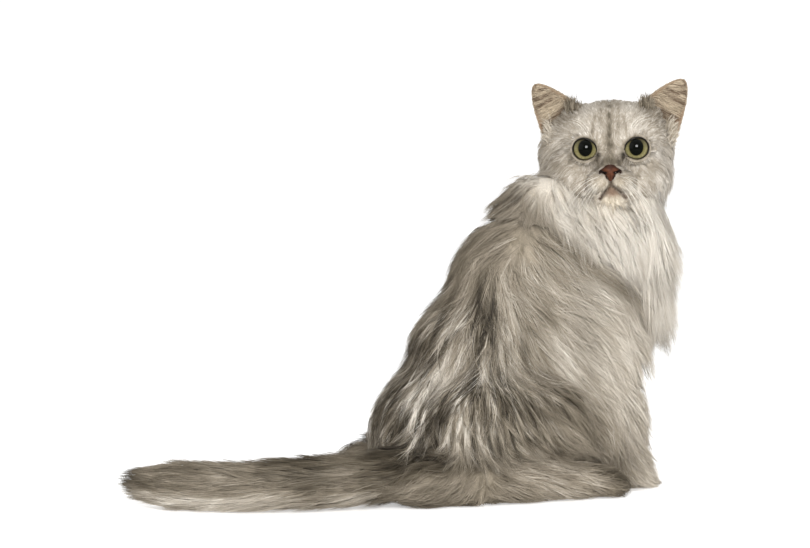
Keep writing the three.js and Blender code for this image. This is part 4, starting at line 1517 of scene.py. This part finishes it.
def buildEyeRim(side, end):
    deselect()
    around, across = rim["rows"]
    bpy.ops.mesh.primitive_torus_add(
        major_radius=1, minor_radius=0.25, major_segments=around, minor_segments=across
    )
    ring = bpy.context.object
    g = placesOf(ring.data)
    far = np.hypot(g[:, 0], g[:, 1])
    turn = np.arctan2(g[:, 1], g[:, 0] * side)  # 0 at the outer corner, pi at the inner one
    bulge, rise = (far - 1) * 4, g[:, 2] * 4
    thick = rim["thick"] * (1.1 + 0.9 * np.clip(np.sin(turn - 0.3), -0.55, 1))
    away = np.abs(np.angle(np.exp(1j * (turn - math.radians(rim["cornerAt"])))))
    pulled = rim["corner"] * bell((away, 0.30))
    middle = 1 / lidAround(np.stack([np.cos(turn) * side, 0 * turn, np.sin(turn)], -1), side)
    ball = eye["radius"] + rim["proud"]
    depth = np.sqrt(np.maximum(ball**2 - middle**2, 0.1)) + rim["proud"] - 0.4 * pulled
    out = middle + thick * 0.9 + pulled + bulge * thick
    p = np.stack([np.cos(turn) * out * side, -depth - rise * thick, np.sin(turn) * out], 1)
    setPlaces(ring.data, toMetres(headPlace(p @ eyeTurn(side).T + eyeMiddle(side))))
    bpy.ops.object.mode_set(mode="EDIT")
    bpy.ops.mesh.select_all(action="SELECT")
    bpy.ops.mesh.normals_make_consistent(inside=False)
    bpy.ops.object.mode_set(mode="OBJECT")
    ring = joined([ring], "eyeRim_" + end)
    ring.data.materials.append(rimMaterial)
    smoothed(ring)
    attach(ring, catBody)


rimMaterial, _ = addMaterial("lidRim", tuple(linear(*rim["colour"])), 0.4, 0.3)
for side, end in ((-1, "right"), (1, "left")):
    buildEyeRim(side, end)
print("eyes set")

# Nose leather: a rounded shield with comma nostrils and the groove that runs down to the lip
nose = {
    "wide": 9.9,
    "top": -14.4,
    "tip": -27.6,
    "front": 45.4,
    "thick": 5.0,
    "nostril": (4.3, -20.7),
    "brick": (81, 47, 31),
    "edge": (48, 30, 22),
    "nostrilShade": (18, 10, 8),
}
# half the shield's width, from its top down to the tip
noseRows = [0, 0.12, 0.25, 0.36, 0.46, 0.58, 0.72, 0.88, 1]
noseHalf = [0.40, 0.56, 0.84, 1.0, 0.72, 0.47, 0.31, 0.21, 0.12]


def slitOff(x, z):
    # how far a place is from the middle line of a nostril's slit
    at, row = nose["nostril"]
    return np.abs(z - row - 0.5 * (x - at - 0.1))


def noseColours(q):
    at, row = nose["nostril"]
    # the nostrils are painted near black: painted shade inside their openings
    nostrilShade = np.zeros(len(q))
    for side in (-1, 1):
        x, z = q[:, 0] * side, q[:, 2]
        nostrilShade = np.maximum(nostrilShade, bell((x - at, 1.8), (z - row, 1.2)))
        nostrilShade = np.maximum(nostrilShade, bell((slitOff(x, z), 0.9)) * smooth(x, 3.4, 4.8))
    half = np.interp((nose["top"] - q[:, 2]) / (nose["top"] - nose["tip"]), noseRows, noseHalf)
    edge = smooth(np.abs(q[:, 0]) / (half * nose["wide"]), 0.45, 0.9)
    edge = np.maximum(edge, smooth(q[:, 2], nose["top"] - 4.6, nose["top"] - 0.8))
    edge = np.maximum(edge, 0.6 * bell((q[:, 0], 0.5)) * smooth(-q[:, 2], 21, 24))
    brick = linear(*nose["brick"])
    colour = brick + (linear(*nose["edge"]) - brick) * (0.88 * edge)[:, None]
    colour = colour + (linear(*nose["nostrilShade"]) - colour) * smooth(nostrilShade, 0.2, 0.6)[:, None]
    return colour * (0.8 + 0.5 * noiseAt(q, 1.3, 15))[:, None]


def buildNose():
    deselect()
    bpy.ops.mesh.primitive_grid_add(x_subdivisions=56, y_subdivisions=44, size=2)
    leather = bpy.context.object
    g = placesOf(leather.data)
    u, v = g[:, 0], (1 - g[:, 1]) / 2  # across, and from the top down to the tip
    x = u * np.interp(v, noseRows, noseHalf) * nose["wide"]
    z = nose["top"] + (nose["tip"] - nose["top"]) * v + 0.8 * (1 - u**2) * (1 - v)
    y = -nose["front"] + 2.6 * np.abs(u) ** 2.4 + 2.4 * (1 - v) ** 2 + 1.9 * v**3
    at, row = nose["nostril"]
    for side in (-1, 1):
        out = x * side
        y -= 0.7 * bell((out - 3.6, 2.4), (z + 17.6, 2.2))
        y += 1.9 * bell((out - at, 1.7), (z - row, 1.1))
        y += 1.1 * bell((slitOff(out, z), 0.7)) * smooth(out, 3.8, 5.2)
    y += 0.9 * bell((x, 0.55)) * smooth(v, 0.42, 0.7)
    setPlaces(leather.data, toMetres(headPlace(np.stack([x, y, z], 1))))
    modified(leather, "SOLIDIFY", thickness=nose["thick"] / 1000, offset=-1)
    leather = joined([leather], "noseLeather")
    mesh = leather.data
    setColours(mesh, noseColours(headLocal(toDrawing(placesOf(mesh)))))
    material, noise = furMaterial("noseLeather", 0.5, 1500.0, 0.18, 0.12)
    addBump(material, noise.outputs["Fac"], 0.35, 0.0004)
    mesh.materials.append(material)
    smoothed(leather)
    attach(leather, catBody)
    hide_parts("nose")


buildNose()
print("nose set")

# Ears: cupped leaves with a thin rim, cream inside and silver behind
ear = {
    "high": 52.5,
    "wide": 23.5,
    "cup": 11.0,
    "thick": 1.5,
    "sunk": 16,
    "turn": (0.05, 0.62, 0.15),
    "foot": (43, 2, 29),
    "cream": (146, 127, 105),
    "pink": (148, 122, 98),
    "silver": (176, 166, 150),
}


def earPlace(across, up, side, lifted=0.0):
    # a place on the ear's middle sheet, in the head's frame; lifted moves it out of the cup's hollow
    across, up = np.asarray(across, float), np.asarray(up, float)
    wide = ear["wide"] * (1 - up) ** 0.74 + 3.2 * np.sqrt(up * (1 - up**6)) + 0.3
    cup = ear["cup"] * (1 - across**2) * (1 - 0.75 * up) - lifted
    p = np.stack([across * wide, cup, up * ear["high"] - ear["sunk"]], -1)
    a, b, c = ear["turn"]
    turn = Matrix.Rotation(a, 3, "X") @ Matrix.Rotation(side * b, 3, "Y")
    turn = np.array(turn @ Matrix.Rotation(side * c, 3, "Z"))
    return p @ turn.T + np.array([side, 1, 1]) * ear["foot"]


def buildEar(side, end):
    deselect()
    bpy.ops.mesh.primitive_grid_add(x_subdivisions=36, y_subdivisions=40, size=2)
    leaf = bpy.context.object
    g = placesOf(leaf.data)
    setPlaces(leaf.data, toMetres(headPlace(earPlace(g[:, 0], (g[:, 1] + 1) / 2, side))))
    modified(leaf, "SOLIDIFY", thickness=ear["thick"] / 1000, offset=0)
    leaf = joined([leaf], "earLeaf_" + end)
    smoothed(leaf)
    mesh = leaf.data
    q = headLocal(toDrawing(placesOf(mesh)))
    inside = smooth(-(normalsOf(mesh) @ headTurn)[:, 1], -0.1, 0.3)
    low = bell((q[:, 2] - 24, 12)) * smooth(np.abs(q[:, 0]), 44, 58)
    cream, pink, silver = (linear(*ear[key]) for key in ("cream", "pink", "silver"))
    colour = cream + (pink - cream) * low[:, None]
    setColours(mesh, silver + (colour - silver) * inside[:, None])
    mesh.materials.append(skinMaterial)
    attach(leaf, catBody)
    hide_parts("ear_" + end)


# Hair that grows on the head besides the coat
forward = (0, -1.0, 0)  # in the head's frame


def spray(name, roots, ways, outs, length, width, colours, steps, softness, bends=(0, 0, 0)):
    # hairs that leave their roots along a way and bend towards another, all in the head's frame
    t = np.linspace(0, 1, steps + 1)
    roots = headPlace(roots)
    ways, outs, bends = (np.broadcast_to(v, roots.shape) @ headTurn.T for v in (ways, outs, bends))
    lines = roots[:, None] + ways[:, None] * (length[:, None] * t[None])[:, :, None]
    lines = lines + bends[:, None] * (length[:, None] * t[None] ** 2)[:, :, None]
    shade = np.repeat(colours[:, None], steps + 1, axis=1)
    width = np.full(len(roots), width)
    thing = hairMesh(name, lines, width, shade, uvAt(toMetres(roots)), outs, softness)
    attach(thing, catBody)


backHair = {
    "count": 2600,
    "width": 0.6,
    "length": (3.5, 6.0),
    "tone": 0.70,
    "warmth": 0.8,
    "softness": 0.1,
}


def buildEarBack(side, end):
    # short hair behind the leaf and along its rim
    count = backHair["count"]
    across = random.uniform(-1, 1, count)
    up = random.random(count) ** 1.1 * 0.99
    edge = 0.02
    here = earPlace(across, up, side)
    ahead = earPlace(across, np.minimum(up + edge, 1), side)
    beside = earPlace(np.clip(across + edge, -1, 1.05), up, side)
    climb, over = unit(ahead - here), unit(beside - here)
    normal = unit(np.cross(over, climb))
    behind = normal * np.sign(normal[:, 1:2])
    outwards = np.sign(across)[:, None] * over * (0.4 * np.abs(across) ** 3)[:, None]
    way = unit(climb * 0.9 + outwards + behind * 0.06)
    tone = backHair["tone"] + 0.06 * random.standard_normal(count) + 0.1 * np.abs(across) ** 4
    length = random.uniform(*backHair["length"], count) * (1 - 0.6 * up)
    colours = colourOf(tone, np.full(count, backHair["warmth"]))
    root, width, softness = here + behind * 0.5, backHair["width"], backHair["softness"]
    spray("earBack_" + end, root, way, behind, length, width, colours, 2, softness)


innerHair = {
    "count": 1250,
    "steps": 4,
    "width": 0.55,
    "from": (-1.0, 0.15),
    "up": (0.22, 0.93),
    "span": (0.6, 1.3),
    "arch": (0.5, 3.0),
    "dark": (108, 90, 72),
    "pale": (204, 188, 163),
    "softness": 0.45,
}


def buildEarInner(side, end):
    # long pale hair that runs over the hollow from the inner edge to the outer one
    count, places = innerHair["count"], innerHair["steps"] + 1
    start = random.uniform(*innerHair["from"], count)
    up = random.uniform(*innerHair["up"], count)
    t = np.linspace(0, 1, places)
    span = random.uniform(*innerHair["span"], count) * (0.7 + 0.5 * up)
    climb = 0.10 + 0.30 * (up - 0.5) + 0.03 * random.standard_normal(count)
    across = side * (start[:, None] + span[:, None] * t)
    rise = up[:, None] + climb[:, None] * (t - 0.5 * t**2)
    over = 0.6 + random.uniform(*innerHair["arch"], count)[:, None] * np.sin(t * 2.6)
    lines = headPlace(earPlace(np.clip(across, -0.97, 0.97), np.clip(rise, 0, 0.97), side, over))
    lines[:, 0] = lines[:, 0] + (np.array([0, 1.2, 0]) @ headTurn.T)
    group = smooth(noiseAt(np.stack([start * 1.6, 0 * up, up * 26], 1), 1.0, 4), 0.15, 0.85)
    # painted shade: hairs low on the inner side, deep in the hollow, are darker
    low = 0.5 * smooth(0.55 - up, 0, 0.3) * (start < -0.5)
    pale = np.clip(0.76 * group - low + 0.16 * random.standard_normal(count), 0, 1)[:, None]
    colours = linear(*innerHair["dark"]) * (1 - pale) + linear(*innerHair["pale"]) * pale
    shade = np.repeat(colours[:, None], places, axis=1)
    outs = np.repeat((np.array(forward) @ headTurn.T)[None], count, 0)
    width, uv = np.full(count, innerHair["width"]), uvAt(toMetres(lines[:, 0]))
    thing = hairMesh("earInner_" + end, lines, width, shade, uv, outs, innerHair["softness"])
    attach(thing, catBody)


# The pale fringe over the ear's outer foot and the dark tuft that stands at its inner foot
tufts = {
    "earFringe_": {
        "count": 300,
        "at": (51.0, -3.0, 13.0),
        "spread": (1.6, 5.0, 5.0),
        "way": (0.42, -0.30, 0.75),
        "bend": (0, 0.3, -0.2),
        "length": (7, 13),
        "width": 0.5,
        "tone": (0.55, 0.85),
        "warmth": 0.5,
        "softness": 0.6,
    },
    "earTuft_": {
        "count": 220,
        "at": (31.0, -6.0, 34.0),
        "spread": (2.6, 2.0, 1.6),
        "way": (0.10, -0.15, 1.0),
        "bend": (0, 0, 0),
        "length": (8, 15),
        "width": 0.6,
        "tone": (0.2, 0.62),
        "warmth": 0.4,
        "softness": 0.3,
    },
}


def buildTuft(name, look, side, end):
    count = look["count"]
    mirror = np.array([side, 1, 1])
    roots = mirror * look["at"] + random.standard_normal((count, 3)) * look["spread"]
    way = unit(mirror * look["way"] + 0.22 * random.standard_normal((count, 3)))
    length = random.uniform(*look["length"], count)
    colours = colourOf(random.uniform(*look["tone"], count), np.full(count, look["warmth"]))
    width, softness = look["width"], look["softness"]
    spray(name + end, roots, way, forward, length, width, colours, 3, softness, look["bend"])


for side, end in ((-1, "right"), (1, "left")):
    buildEar(side, end)
    buildEarBack(side, end)
    buildEarInner(side, end)
    for name, look in tufts.items():
        buildTuft(name, look, side, end)
print("ears set")

# Whiskers and brow hairs: long stiff white hairs that arch outwards and droop
whisker = {"length": (30, 58), "perSide": 12, "width": 0.36, "colour": (232, 227, 217), "softness": 0.2}
brow = {"length": (18, 28), "perSide": 3}


def buildWhiskers():
    roots, ways, bends, lengths = [], [], [], []
    for side in (-1, 1):
        for i in range(whisker["perSide"]):
            row, place = i % 4, i // 4
            x = side * (9.5 + 2.6 * place + 0.5 * random.standard_normal())
            z = -24.5 - 3.0 * row + 0.4 * random.standard_normal()
            roots.append([x, -44 + 0.09 * (abs(x) - 8) ** 2, z])
            ways.append([side * (0.80 + 0.06 * place), -0.40 + 0.1 * place, -0.18 - 0.22 * row])
            bends.append([side * -0.05, 0.22, -0.62])
            lengths.append(random.uniform(*whisker["length"]) * (0.72 + 0.1 * place))
        for i in range(brow["perSide"]):
            roots.append([side * (17 + 2.2 * i), -36, 15.5 + 0.6 * i])
            ways.append([side * (0.35 + 0.12 * i), -0.45, 0.85])
            bends.append([side * 0.25, 0.4, -0.35])
            lengths.append(random.uniform(*brow["length"]))
    roots, ways, bends = np.array(roots), unit(np.array(ways)), np.array(bends)
    colours = np.tile(linear(*whisker["colour"]), (len(roots), 1))
    length, width, softness = np.array(lengths), whisker["width"], whisker["softness"]
    spray("whiskers", roots, ways, forward, length, width, colours, 9, softness, bends)


buildWhiskers()
print("whiskers set")

# Floor, dull in the mirror of the eyes, as a studio floor before the cat is
ground = {"size": 60, "glow": 0.42, "colour": (0.9, 0.2), "light": (1.0, 0.1)}
deselect()
bpy.ops.mesh.primitive_plane_add(size=ground["size"], location=(0, 0, 0))
floor = bpy.context.object
floor.name = "floor"
floorMaterial, shader = addMaterial("paleFloor", (ground["colour"][0],) * 3, 0.9)
shader.inputs["Emission Strength"].default_value = ground["glow"]
path = addNode(floorMaterial, "ShaderNodeLightPath")
for socket, key in (("Base Color", "colour"), ("Emission Color", "light")):
    bright, dull = ground[key]
    shown = mixed(floorMaterial, (bright,) * 3, (dull,) * 3, path.outputs["Is Glossy Ray"])
    wire(floorMaterial, shown, shader.inputs[socket])
floor.data.materials.append(floorMaterial)
